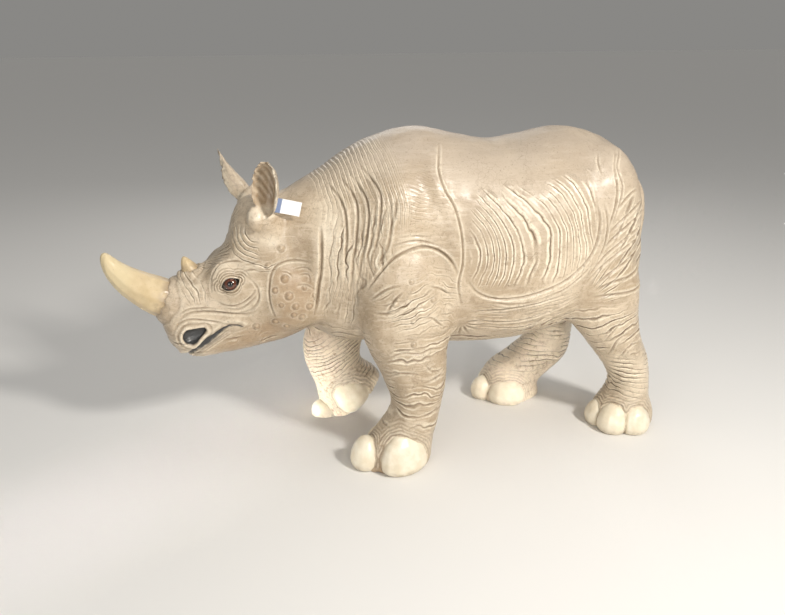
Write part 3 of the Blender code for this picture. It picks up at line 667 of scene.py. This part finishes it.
# Nostrils: a dark drop-shaped pit with a raised rim, cut high on the side of the muzzle.
NOSTRIL_FRONT = np.array([0.411, -0.018])  # along the head and above its axis
NOSTRIL_REAR = np.array([0.371, -0.021])
NOSTRIL_SIZE = (0.0275, 0.0095)  # radius at the fat end and at the rear
for side in (1, -1):
    on_muzzle_side = (crown > 0.3) & (crown < 0.5) & (np.abs(height) < 0.11) & (x * side > 0.02)
    which = np.flatnonzero(on_muzzle_side)
    place = np.stack([crown[which], height[which]], axis=1) - NOSTRIL_FRONT
    run = NOSTRIL_REAR - NOSTRIL_FRONT
    t = np.clip(place @ run / (run @ run), 0, 1)
    away = norm(place - t[:, None] * run, axis=1)
    away -= NOSTRIL_SIZE[0] + (NOSTRIL_SIZE[1] - NOSTRIL_SIZE[0]) * t
    relief[which] += 0.0045 * hump(away, 0.006, 0.005)
    relief[which] -= 0.006 * ramp(-away, -0.002, 0.004)
    paint(pale_and_lit, hump(away, 0.006, 0.0045), which)
    paint(dark_and_shade, 1 - ramp(away, -0.003, 0.0015), which)
    press(which, away - 0.016, 0.0016, 0.0028)

# Mouth: a dark slit that hooks down at its corner, over a ridged, greyish lower lip.
MOUTH = [
    (268, 108, -80), (278, 106, -65), (304, 101, -53), (350, 96, -57),
    (400, 89, -64), (436, 72, -70), (462, 45, -76), (476, 18, -79),
    (479, 0, -80),
]


def on_muzzle(path, lower=0):
    """A curve round the muzzle from corner to corner, carried onto the skin."""
    half = curve(np.array(path) / 1000 - (0, 0, lower), 0.004)
    whole = np.vstack([half, half[-2::-1] * (1, -1, 1)])
    line = [bare.find_nearest(Vector(on_head(*place)))[0][:] for place in whole]
    return np.array(line)


slit = on_muzzle(MOUTH)
lips = np.flatnonzero((crown > 0.22) & (height < 0))
to_slit, stretch, _ = nearest_on(slit, lips)
under_slit = (slit[stretch] - points[lips]) @ BROWWARD
half_gape = 0.0035 + 0.0075 * ramp(crown[lips], 0.27, 0.4)
paint(dark_and_shade, ramp(half_gape - to_slit, 0, 0.0025), lips)
relief[lips] -= 0.006 * ramp(half_gape - to_slit, 0, 0.005)
upper_lip = hump(to_slit, 0.016, 0.006) * (under_slit < 0)
relief[lips] += 0.0035 * upper_lip
paint(pale_and_lit, 0.8 * upper_lip, lips)
for lower, depth in ((0.013, 0.0022), (0.02, 0.0018), (0.028, 0.0026)):
    press_along(on_muzzle(MOUTH[1:], lower), depth, 0.002, blunt=0.2)
lower_lip = ramp(0.022 - to_slit, 0, 0.006) * ramp(under_slit, 0, 0.004)
lower_lip *= ramp(crown[lips], 0.28, 0.36)
streaks = 0.5 + 0.5 * mottle(points[lips] * (1, 0.5, 1.5), 0.008, 127)
paint(dark_and_shade, 0.55 * lower_lip * streaks, lips)

# Horn roots: the skin swells round each horn, wrinkled where the two meet.
for node in HORNS:
    away = gap_to(node, points, 0.04)
    which = np.flatnonzero(away < 0.039)
    ragged = away[which] + 0.003 * mottle(points[which], 0.02, 131)
    relief[which] += 0.003 * hump(ragged, 0.007, 0.006)
    press(which, ragged - 0.019, 0.0012, 0.0026)

# A little unevenness all over, as in any hand-modelled cast.
relief += 0.0009 * mottle(points, 0.045, 141) + 0.0005 * mottle(points, 0.018, 142)

# Under nails and horns the skin sinks out of sight.
for node in NAILS + HORNS:
    away = gap_to(node, points, 0.005)
    covered = 1 - ramp(away, 0.001, 0.0028)
    relief = relief * (1 - covered) - 0.0045 * covered
points = points + normals * relief[:, None]
points[:, 2] = np.maximum(points[:, 2], 0)

# Eyelids: the skin closes round each eyeball, almond-shaped, with a firm edge and a few folds.
LID_HALF_LENGTH = 0.029
LID_RISE = 0.0185
LID_FALL = 0.0165
LID_SLANT = math.radians(8)  # the front corner lies lower
BALL_RADIUS = 0.0277
LID_THICKNESS = 0.0035
EYE_OUTWARD = (0.95, -0.2, 0.2)
for node in EYES:
    side = 1 if node == "eye_left" else -1
    centre = middle_of(node)
    out = np.array(EYE_OUTWARD) * (side, 1, 1)
    out /= norm(out)
    along = NOSEWARD - out * (NOSEWARD @ out)
    along /= norm(along)
    up = np.cross(out, along) * side
    along, up = (
        along * math.cos(LID_SLANT) - up * math.sin(LID_SLANT),
        up * math.cos(LID_SLANT) + along * math.sin(LID_SLANT),
    )
    offset = points - centre
    s, t, n = offset @ along, offset @ up, offset @ out
    which = np.flatnonzero((np.hypot(s, t) < 0.075) & (n > 0))
    s, t, n = s[which], t[which], n[which]
    reach = np.clip(1 - (s / LID_HALF_LENGTH) ** 2, 0, 1)
    upper, lower = LID_RISE * reach ** 0.7, -LID_FALL * reach ** 0.85
    past_corner = np.clip(np.abs(s) - LID_HALF_LENGTH, 0, 1)
    edge = np.maximum(t - upper, lower - t)
    edge = np.where(past_corner > 0, np.hypot(past_corner, t), edge)
    ball = np.sqrt(np.clip(BALL_RADIUS ** 2 - s ** 2 - t ** 2, 0, None))
    over = ball + LID_THICKNESS * (1 - ramp(edge, 0.008, 0.022))
    lid = np.maximum(n, np.where(np.hypot(s, t) < BALL_RADIUS, over, 0))
    lid = lid + 0.0016 * hump(edge, 0.003, 0.003)
    open_here = 1 - ramp(edge, -0.0008, 0.0006)
    lid = lid * (1 - open_here) + (ball - 0.006) * open_here
    points[which] += out * (lid - n)[:, None]
    above = ramp(t, -0.004, 0.004)
    below = 1 - above
    for ring, depth, half in (
        (0.0095, 0.0032, above), (0.017, 0.0016, above), (0.009, 0.0026, below),
        (0.0165, 0.0024, below), (0.025, 0.0022, below), (0.0345, 0.0016, below),
    ):
        crease = hump(edge, ring, 0.002) * half
        ridge = hump(np.abs(edge - ring), 0.0042, 0.0022) * half
        points[which] += out * (depth * (0.4 * ridge - crease))[:, None]
        paint(wash, crease * depth / 0.0025, which)
        paint(pale_and_lit, ridge * 0.7, which)
    paint(dark_and_shade, 1 - ramp(np.abs(edge - 0.0002), 0.0004, 0.002), which)
set_points(skin, points)


def store(obj, name, values):
    """Keeps one value for each point, for the material to read."""
    obj.data.attributes.new(name, "FLOAT", "POINT").data.foreach_set("value", values)


paint(pale_and_lit, ear_rim)
dust = ramp(y, 0.06, 0.18) * ramp(z, 0.6, 0.78)  # back and flank are duller than the rest
for name, values in dict(wash=wash, pale_and_lit=pale_and_lit, dark_and_shade=dark_and_shade, brown_and_shade=brown_and_shade, dust=dust).items():
    store(skin, name, np.clip(values, 0, 1))
for layer in phases:
    store(skin, layer + "_phase", phases[layer])
    store(skin, layer + "_amount", amounts[layer])

SKIN_TRIANGLES = 192000
apply_modifier(skin, "TRIANGULATE")
apply_modifier(skin, "DECIMATE", ratio=min(1, SKIN_TRIANGLES / len(skin.data.polygons)))
set_points(skin, np.clip(points_of(skin), *(np.array(corner) for corner in cad_box)))
bpy.ops.object.shade_smooth()


def new_material(name, roughness, **sockets):
    """A Principled material, its shader and the place on the object."""
    material = bpy.data.materials.new(name)
    material.use_nodes = True
    tree = material.node_tree
    shader = tree.nodes["Principled BSDF"]
    shader.inputs["Roughness"].default_value = roughness
    for socket, value in sockets.items():
        shader.inputs[socket.replace("_", " ")].default_value = value
    return material, shader, add_node("ShaderNodeTexCoord", tree).outputs["Object"]


def feed(node, name, value):
    """Links a node's input to another node's output, or sets it to a plain value."""
    if isinstance(value, bpy.types.NodeSocket):
        value.id_data.links.new(value, node.inputs[name])
    else:
        node.inputs[name].default_value = value


def add_node(kind, tree=None, **values):
    """A node with its settings and inputs by name, in the tree that its inputs come from."""
    for value in values.values():
        if isinstance(value, bpy.types.NodeSocket):
            tree = value.id_data
    made = tree.nodes.new(kind)
    for name, value in values.items():
        if name.startswith("input_"):
            feed(made, int(name[6:]), value)
        elif name in made.inputs:
            feed(made, name, value)
        else:
            setattr(made, name, value)
    return made


def mixed(share, first, second):
    """The first colour where share is 0, the second where it is 1. A paint is red, green, blue."""
    first, second = (
        (*colour, 1) if isinstance(colour, tuple) else colour for colour in (first, second)
    )
    return add_node(
        "ShaderNodeMix", data_type="RGBA", input_0=share, input_6=first, input_7=second,
    ).outputs[2]


def value_at(place, name):
    """A value that is stored on the mesh."""
    return add_node("ShaderNodeAttribute", place.id_data, attribute_name=name).outputs["Fac"]


def noise(place, scale, detail=4, roughness=0.55, distortion=0):
    return add_node(
        "ShaderNodeTexNoise", Vector=place, Scale=scale, Detail=detail, Roughness=roughness,
        Distortion=distortion,
    ).outputs["Fac"]


def stepped(value, low, high):
    """Runs from 0 at low to 1 at high."""
    return add_node(
        "ShaderNodeMapRange", interpolation_type="SMOOTHSTEP", Value=value,
        input_1=low, input_2=high,
    ).outputs["Result"]


def stretched(place, scale):
    return add_node("ShaderNodeMapping", Vector=place, Scale=scale).outputs[0]


def height_of(place):
    return add_node("ShaderNodeSeparateXYZ", Vector=place).outputs["Z"]


def net(place, scale):
    """How far a place is from the lines of a net with random meshes."""
    return add_node(
        "ShaderNodeTexVoronoi", feature="DISTANCE_TO_EDGE", Vector=place, Scale=scale,
    ).outputs["Distance"]


def patches(place, low, high, *form):
    """Random patches: 0 where their noise is below low, 1 where it is above high."""
    return stepped(noise(place, *form), low, high)


def times(first, second, how="MULTIPLY"):
    return add_node("ShaderNodeMath", operation=how, input_0=first, input_1=second).outputs[0]


def coat(colour, paint, share, where, also_where=None):
    """One more coat of paint over a colour, which covers this share of it."""
    if also_where is not None:
        where = times(where, also_where)
    return mixed(times(where, share), colour, paint)


def finish_paint(shader, colour, bumps, strength, height):
    """Gives the shader its colour and a fine relief."""
    bump = add_node("ShaderNodeBump", Height=bumps, Strength=strength, Distance=height)
    feed(shader, "Base Color", colour)
    feed(shader, "Normal", bump.outputs[0])
    return bump


def close_wrinkles(place, layer, width):
    """How much a place lies in a close wrinkle, and how much on the ridge beside one."""
    phase = value_at(place, layer + "_phase")
    amount = value_at(place, layer + "_amount")
    shaken = times(noise(place, 45, 3), 0.14)
    from_line = times(times(phase, shaken, "ADD"), 0.5, "PINGPONG")
    groove = times(stepped(from_line, width, 0.02), times(amount, 1.5))
    rise = stepped(from_line, width, width + 0.08)
    ridge = times(rise, stepped(from_line, width + 0.25, width + 0.12))
    return groove, times(ridge, times(amount, 1.6))


TAUPE, LIGHT_TAUPE, CREAMY_TAUPE = (0.45, 0.345, 0.23), (0.64, 0.525, 0.385), (0.68, 0.565, 0.42)
BRUSHED_BROWN, PALE_STROKES = (0.37, 0.27, 0.175), (0.72, 0.61, 0.47)
GREY_BACK, DULL_GREY = (0.46, 0.38, 0.3), (0.42, 0.35, 0.275)
WARM_BROWN_AND_SHADE, DRY_BRUSHED_AND_LIT = (0.39, 0.262, 0.15), (0.84, 0.74, 0.58)
DARK_WASH, CRAZE_LINES, SPECKS = (0.19, 0.13, 0.08), (0.24, 0.18, 0.12), (0.22, 0.165, 0.115)
GREY_BLACK_AND_SHADE = (0.05, 0.05, 0.05)
SMOOTHEST, ROUGHEST = 0.25, 0.4


def painted_resin():
    """Taupe paint, greyer on the back, dark wash in creases, pale dry-brushing, painted light and
    shade.
    """
    material, shader, place = new_material(
        "painted_resin", ROUGHEST, Coat_Weight=0.28, Coat_Roughness=0.26, Specular_IOR_Level=0.5,
    )
    level = height_of(place)
    wash, pale_and_lit, dark_and_shade, brown_and_shade, dust = (
        value_at(place, name) for name in ("wash", "pale_and_lit", "dark_and_shade", "brown_and_shade", "dust")
    )

    # Three coats of taupe, then brown and pale brush strokes, then the greyer back.
    colour = mixed(patches(place, 0.35, 0.68, 5, 5), TAUPE, LIGHT_TAUPE)
    creamy = patches(place, 0.52, 0.72, 17, 6, 0.6, 0.6)
    colour = coat(colour, CREAMY_TAUPE, 0.6, creamy)
    brushed = patches(place, 0.48, 0.66, 38, 5, 0.65, 1.2)
    colour = coat(colour, BRUSHED_BROWN, 0.58, brushed)
    along_body = stretched(place, (0.7, 0.12, 1.3))
    stroked = patches(along_body, 0.5, 0.66, 65, 5, 0.6, 0.4)
    colour = coat(colour, PALE_STROKES, 0.42, stroked)
    back = stepped(level, 0.84, 1.02)
    colour = coat(colour, GREY_BACK, 0.75, back, patches(place, 0.25, 0.6, 3.5))
    colour = coat(colour, DULL_GREY, 0.3, dust)

    # Brown cheeks and ears, painted jaw shade, pale ridges, painted highlights, and wash in the
    # creases.
    (coarse, coarse_ridge), (fine, fine_ridge) = (
        close_wrinkles(place, layer, width)
        for layer, width in (("coarse", 0.085), ("fine", 0.12))
    )
    grooves = times(coarse, times(fine, 0.7), "MAXIMUM")
    pale_ridges_and_lit = times(coarse_ridge, times(fine_ridge, 0.6), "MAXIMUM")
    pale_ridges_and_lit = times(pale_ridges_and_lit, pale_and_lit, "MAXIMUM")
    creases = times(wash, grooves, "MAXIMUM")
    cloudy = patches(place, 0.15, 0.6, 14, 5)
    colour = coat(colour, WARM_BROWN_AND_SHADE, 0.8, brown_and_shade, cloudy)
    dabbed = patches(place, 0.25, 0.52, 60, 3)
    colour = coat(colour, DRY_BRUSHED_AND_LIT, 0.85, pale_ridges_and_lit, dabbed)
    patchy = patches(place, 0.15, 0.55, 34, 4, 0.6)
    colour = coat(colour, DARK_WASH, 0.68, creases, patchy)

    # Craze lines, specks of dirt, the grey-black of nostrils, mouth and lid edges, painted shade in
    # ears.
    hairline = stepped(net(place, 46), 0.035, 0)
    crazed = patches(place, 0.5, 0.62, 7, 3)
    colour = coat(colour, CRAZE_LINES, 0.45, hairline, crazed)
    colour = coat(colour, SPECKS, 0.5, patches(place, 0.6, 0.7, 200, 3))
    colour = mixed(dark_and_shade, colour, GREY_BLACK_AND_SHADE)

    # The surface: creases, a net of fine cracks, grain and pores.
    cracks = stepped(net(stretched(place, (1, 0.55, 1.6)), 70), 0, 0.1)
    grain = noise(place, 150, 4, 0.6)
    pores = patches(place, 0.3, 0.5, 420, 2)
    surface = times(times(cracks, 0.35), times(grain, 0.45), "ADD")
    surface = times(surface, times(pores, 0.15), "ADD")
    pressed = add_node(
        "ShaderNodeBump", invert=True, Height=grooves, Strength=0.8, Distance=0.0025,
    )
    bump = finish_paint(shader, colour, surface, 0.55, 0.0012)
    feed(bump, "Normal", pressed.outputs[0])
    rough = add_node(
        "ShaderNodeMapRange", Value=grain,
        input_1=0.3, input_2=0.7, input_3=SMOOTHEST, input_4=ROUGHEST,
    ).outputs["Result"]
    dull = times(times(wash, 0.25), times(dust, 0.22), "ADD")
    feed(shader, "Roughness", times(rough, dull, "ADD"))
    return material


skin.data.materials.append(painted_resin())
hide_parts(*FLESH)
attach(skin, "root")

# ---- the eyes ----
# Two smooth balls of the same resin, painted red-brown with a black pupil and a thick gloss coat.
# They stand deep behind the lids.

DARK_IRIS, RED_IRIS = (0.085, 0.022, 0.01), (0.17, 0.052, 0.024)
PUPIL, BALL_EDGE = (0.004, 0.004, 0.004), (0.012, 0.008, 0.006)


def gloss_eye():
    """Rings of colour round the way the eye looks, read from the painted attribute."""
    material, shader, place = new_material("gloss_eye", 0.08, Coat_Weight=1, Coat_Roughness=0.03)
    ring = value_at(place, "ring")
    iris = mixed(patches(place, 0.35, 0.7, 260, 3), DARK_IRIS, RED_IRIS)
    colour = mixed(stepped(ring, 0.29, 0.33), PUPIL, iris)
    colour = mixed(stepped(ring, 0.62, 0.72), colour, BALL_EDGE)
    feed(shader, "Base Color", colour)
    return material


CORNEA_RISE = 0.001
CORNEA_EDGE, RING_END = 34, 60  # degrees from the middle of the pupil
EYE_LOOKS = (0.96, -0.16, 0.2)  # the left eye's way
eye_paint = gloss_eye()
for node in EYES:
    side = 1 if node == "eye_left" else -1
    centre = sum((Vector(corner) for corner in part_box(node)), Vector()) / 2
    radius = (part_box(node)[1][2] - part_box(node)[0][2]) / 2
    bpy.ops.object.select_all(action="DESELECT")
    bpy.ops.mesh.primitive_uv_sphere_add(segments=64, ring_count=32, radius=radius, location=centre)
    ball = bpy.context.view_layer.objects.active
    ball.name = node + "_ball"
    bpy.ops.object.transform_apply(location=True, rotation=False, scale=False)
    bpy.ops.object.shade_smooth()
    looks = np.array(EYE_LOOKS) * (side, 1, 1)
    looks /= norm(looks)
    turned = np.degrees(np.arccos(np.clip((points_of(ball) - centre) @ looks / radius, -1, 1)))
    store(ball, "ring", np.clip(turned / RING_END, 0, 1))
    domed = CORNEA_RISE * np.clip(1 - (turned / CORNEA_EDGE) ** 2, 0, 1)
    set_points(ball, points_of(ball) + points_of(ball, "normal") * domed[:, None])
    ball.data.materials.append(eye_paint)
    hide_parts(node)
    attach(ball, "root")

# ---- the horns ----
# Two curved horns, cast with the head, with faint lengthwise ribs. They are painted cream, with a
# brown stain at the root, and left paler towards the tips.

HORN_OCHRE, HORN_CREAM, HORN_TIP = (0.62, 0.475, 0.27), (0.73, 0.58, 0.355), (0.74, 0.61, 0.375)
HORN_SPECKS, HORN_ROOT = (0.35, 0.24, 0.13), (0.36, 0.26, 0.165)
HORN_GRID = 0.0022
RIBS, RIB_HEIGHT = 13, 0.0004
FULL_RISE = 0.14  # this far from the head, the paint is the tip's


def painted_horn():
    material, shader, place = new_material(
        "painted_horn", 0.36, Coat_Weight=0.3, Coat_Roughness=0.2,
    )
    rise = value_at(place, "rise")
    colour = mixed(patches(place, 0.3, 0.7, 22, 5), HORN_OCHRE, HORN_CREAM)
    colour = mixed(stepped(rise, 0.55, 1), colour, HORN_TIP)
    colour = coat(colour, HORN_SPECKS, 0.35, patches(place, 0.62, 0.74, 130, 3))
    stained = patches(place, 0.2, 0.6, 40)
    colour = coat(colour, HORN_ROOT, 0.8, stepped(rise, 0.22, 0), stained)
    finish_paint(shader, colour, noise(place, 90, 4), 0.4, 0.0015)
    return material


horn_paint = painted_horn()
for node in HORNS:
    horn = copies_as_one(node + "_cast", [node])
    apply_modifier(horn, "REMESH", mode="VOXEL", voxel_size=HORN_GRID)
    form = eased(horn, points_of(horn), 70)
    rise = np.clip(gap_to("head", form, 0.3) / FULL_RISE, 0, 1)
    rounder = eased(horn, form, 140)  # for the wide root alone, because it would blunt the tip
    form += (rounder - form) * (1 - ramp(rise, 0.4, 0.9))[:, None]
    set_points(horn, form)
    outwards = points_of(horn, "normal")
    turned = np.arctan2(outwards[:, 0], outwards[:, 1] - outwards[:, 2])
    ribbed = np.sin(turned * RIBS + 2.5 * mottle(form, 0.05, 151)) * RIB_HEIGHT
    ribbed += 0.0005 * mottle(form, 0.018, 152) - 0.0005
    set_points(horn, form + outwards * ribbed[:, None])
    store(horn, "rise", rise)
    bpy.ops.object.shade_smooth()
    horn.data.materials.append(horn_paint)
    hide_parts(node)
    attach(horn, "root")

# ---- the nails ----
# Three broad nails on each foot, cast with the foot. They are painted a pale satin cream, and are
# darker brown in patches near the ground.

NAIL_BUFF, NAIL_CREAM = (0.78, 0.685, 0.515), (0.89, 0.815, 0.665)
NAIL_LOW_BROWN, NAIL_SPECKS = (0.36, 0.27, 0.16), (0.4, 0.3, 0.18)
NAIL_GRID, NAIL_EASING = 0.002, 90


def painted_nail():
    material, shader, place = new_material(
        "painted_nail", 0.34, Coat_Weight=0.35, Coat_Roughness=0.2,
    )
    level = height_of(place)
    colour = mixed(patches(place, 0.3, 0.7, 30, 5), NAIL_BUFF, NAIL_CREAM)
    low_patches = patches(place, 0.35, 0.65, 60, 5)
    colour = coat(colour, NAIL_LOW_BROWN, 0.6, stepped(level, 0.035, 0), low_patches)
    colour = coat(colour, NAIL_SPECKS, 0.3, patches(place, 0.64, 0.76, 210, 3))
    finish_paint(shader, colour, noise(place, 110, 4), 0.3, 0.001)
    return material


nail_paint = painted_nail()
for node in NAILS:
    nail = copies_as_one(node + "_cast", [node])
    apply_modifier(nail, "REMESH", mode="VOXEL", voxel_size=NAIL_GRID)
    form = eased(nail, eased(nail, points_of(nail), NAIL_EASING), NAIL_EASING)
    uneven = 0.0003 * mottle(form, 0.03, 161) - 0.0004
    set_points(nail, form)
    form += points_of(nail, "normal") * uneven[:, None]
    form[:, 2] = np.maximum(form[:, 2], 0)
    set_points(nail, form)
    bpy.ops.object.shade_smooth()
    nail.data.materials.append(nail_paint)
    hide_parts(node)
    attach(nail, "root")

# ---- the price tag ----
# A blank card tag with a blue end, stuck on the left ear. It is a thin sheet with softened edges,
# and its two ends have curled a little.

CARD_GREY, CARD_WHITE, CARD_BLUE = (0.86, 0.87, 0.88), (0.95, 0.95, 0.95), (0.2, 0.26, 0.42)


def tag_card():
    material, shader, place = new_material("tag_card", 0.38, Coat_Weight=0.2, Coat_Roughness=0.3)
    fibres = noise(place, 900, 4)
    white = mixed(stepped(fibres, 0.3, 0.7), CARD_GREY, CARD_WHITE)
    edge = times(value_at(place, "along"), times(fibres, 0.02), "ADD")
    colour = mixed(stepped(edge, 0.24, 0.255), CARD_BLUE, white)
    finish_paint(shader, colour, fibres, 0.25, 0.0002)
    return material


TAG_LENGTH = 0.078
TAG_HEIGHT = 0.044
TAG_TILT = math.radians(-14)
TAG_CURL = 0.0035
TAG_THICKNESS = 0.0006
middle = middle_of("ear_tag")
bpy.ops.object.select_all(action="DESELECT")
bpy.ops.mesh.primitive_grid_add(x_subdivisions=28, y_subdivisions=12, size=1)
tag = bpy.context.view_layer.objects.active
tag.name = "tag_card"
flat = points_of(tag)
store(tag, "along", flat[:, 0] + 0.5)
length, height_on_tag = flat[:, 0] * TAG_LENGTH, flat[:, 1] * TAG_HEIGHT
curl = TAG_CURL * ((2 * flat[:, 0]) ** 2 - 0.4) * (1 - 0.8 * flat[:, 1])
placed = np.stack([
    middle[0] + curl - 0.001,
    middle[1] + length * math.cos(TAG_TILT) - height_on_tag * math.sin(TAG_TILT),
    middle[2] + length * math.sin(TAG_TILT) + height_on_tag * math.cos(TAG_TILT),
], axis=1)
set_points(tag, placed)
apply_modifier(tag, "SOLIDIFY", thickness=TAG_THICKNESS, offset=0)
apply_modifier(tag, "BEVEL", width=0.00015, segments=1, limit_method="ANGLE")
bpy.ops.object.mode_set(mode="EDIT")
bpy.ops.mesh.select_all(action="SELECT")
bpy.ops.mesh.normals_make_consistent(inside=False)
bpy.ops.object.mode_set(mode="OBJECT")
bpy.ops.object.shade_smooth_by_angle(angle=math.radians(40))
tag.data.materials.append(tag_card())
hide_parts("ear_tag")
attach(tag, "root")

# ---- floor, light and camera ----
# A plain pale floor runs out of sight in a plain bright room. Most of the soft lights stand on the
# statue's left, and the camera is ahead of it on that side, at a visitor's eye height.

FLOOR_SIZE = 60
bpy.ops.object.select_all(action="DESELECT")
bpy.ops.mesh.primitive_plane_add(size=FLOOR_SIZE, location=(0, 0, 0))
floor = bpy.context.view_layer.objects.active
floor.name = "floor"
floor_paint, shader, _ = new_material("pale_floor", 0.75)
feed(shader, "Base Color", (0.84, 0.83, 0.81, 1))
floor.data.materials.append(floor_paint)


def soft_light(name, place, aim, size, watts, colour, spread=180):
    """A rectangular light. A small spread, in degrees, makes its beam narrow."""
    light = bpy.data.lights.new(name, "AREA")
    light.shape = "RECTANGLE"
    light.size, light.size_y = size
    light.energy = watts
    light.color = colour
    light.spread = math.radians(spread)
    lamp = bpy.data.objects.new(name, light)
    bpy.context.scene.collection.objects.link(lamp)
    lamp.location = place
    lamp.rotation_euler = (Vector(aim) - Vector(place)).to_track_quat("-Z", "Y").to_euler()


NEUTRAL, WARM, WARMEST = (1, 0.98, 0.95), (1, 0.97, 0.92), (1, 0.96, 0.9)
NARROW = 12
FAR_FORELEG, FAR_HIND_LEG = (-0.2, -0.35, 0.06), (-0.17, 0.48, 0.14)
soft_light("key", (3.1, 1.7, 2.9), (0, -0.1, 0.6), (0.5, 0.5), 130, WARMEST)
soft_light("fill", (3.2, -2.5, 1.1), (0, -0.1, 0.45), (1.4, 1), 18, NEUTRAL)
soft_light("low_front", (1.7, -3.2, 0.22), FAR_FORELEG, (0.5, 0.2), 1.3, WARM, NARROW)
soft_light("low_rear", (2.7, 0.7, 0.3), FAR_HIND_LEG, (0.3, 0.2), 0.22, WARM, NARROW)
soft_light("front", (3.5, -0.1, 1.4), (0.2, -0.1, 0.75), (0.45, 0.45), 18, (1, 0.98, 0.94))
soft_light("top", (0.2, 0.1, 4), (0, 0, 0.6), (2.5, 2.5), 22, (1, 0.99, 0.97))
soft_light("back", (-3.2, 0.6, 2.6), (0, 0, 0.6), (2.4, 2), 18, (1, 0.97, 0.93))

WALLS, CEILING = (0.5, 0.49, 0.47), (0.62, 0.61, 0.59)  # walls as bright as the far floor
ROOM_STRENGTH = 0.5
world = bpy.data.worlds.new("soft_room")
world.use_nodes = True
direction = add_node("ShaderNodeTexCoord", world.node_tree).outputs["Generated"]
room = mixed(stepped(height_of(direction), 0.02, 0.6), WALLS, CEILING)
background = world.node_tree.nodes["Background"]
feed(background, "Color", room)
feed(background, "Strength", ROOM_STRENGTH)
bpy.context.scene.world = world
bpy.context.scene.view_settings.view_transform = "Standard"

CAMERA_PLACE = (2.4819, -0.6651, 1.4)
VIEWING = Vector((-0.9085, 0.2401, -0.342)).normalized()  # the way the camera looks
camera = bpy.data.objects.new("camera", bpy.data.cameras.new("camera"))
bpy.context.scene.collection.objects.link(camera)
camera.data.sensor_width = 36
camera.data.lens = 36.69
rightward = VIEWING.cross(Vector((0, 0, 1))).normalized()
turned = Matrix((rightward, rightward.cross(VIEWING), -VIEWING)).transposed().to_4x4()
camera.matrix_world = Matrix.Translation(CAMERA_PLACE) @ turned
bpy.context.scene.camera = camera

bpy.context.view_layer.update()
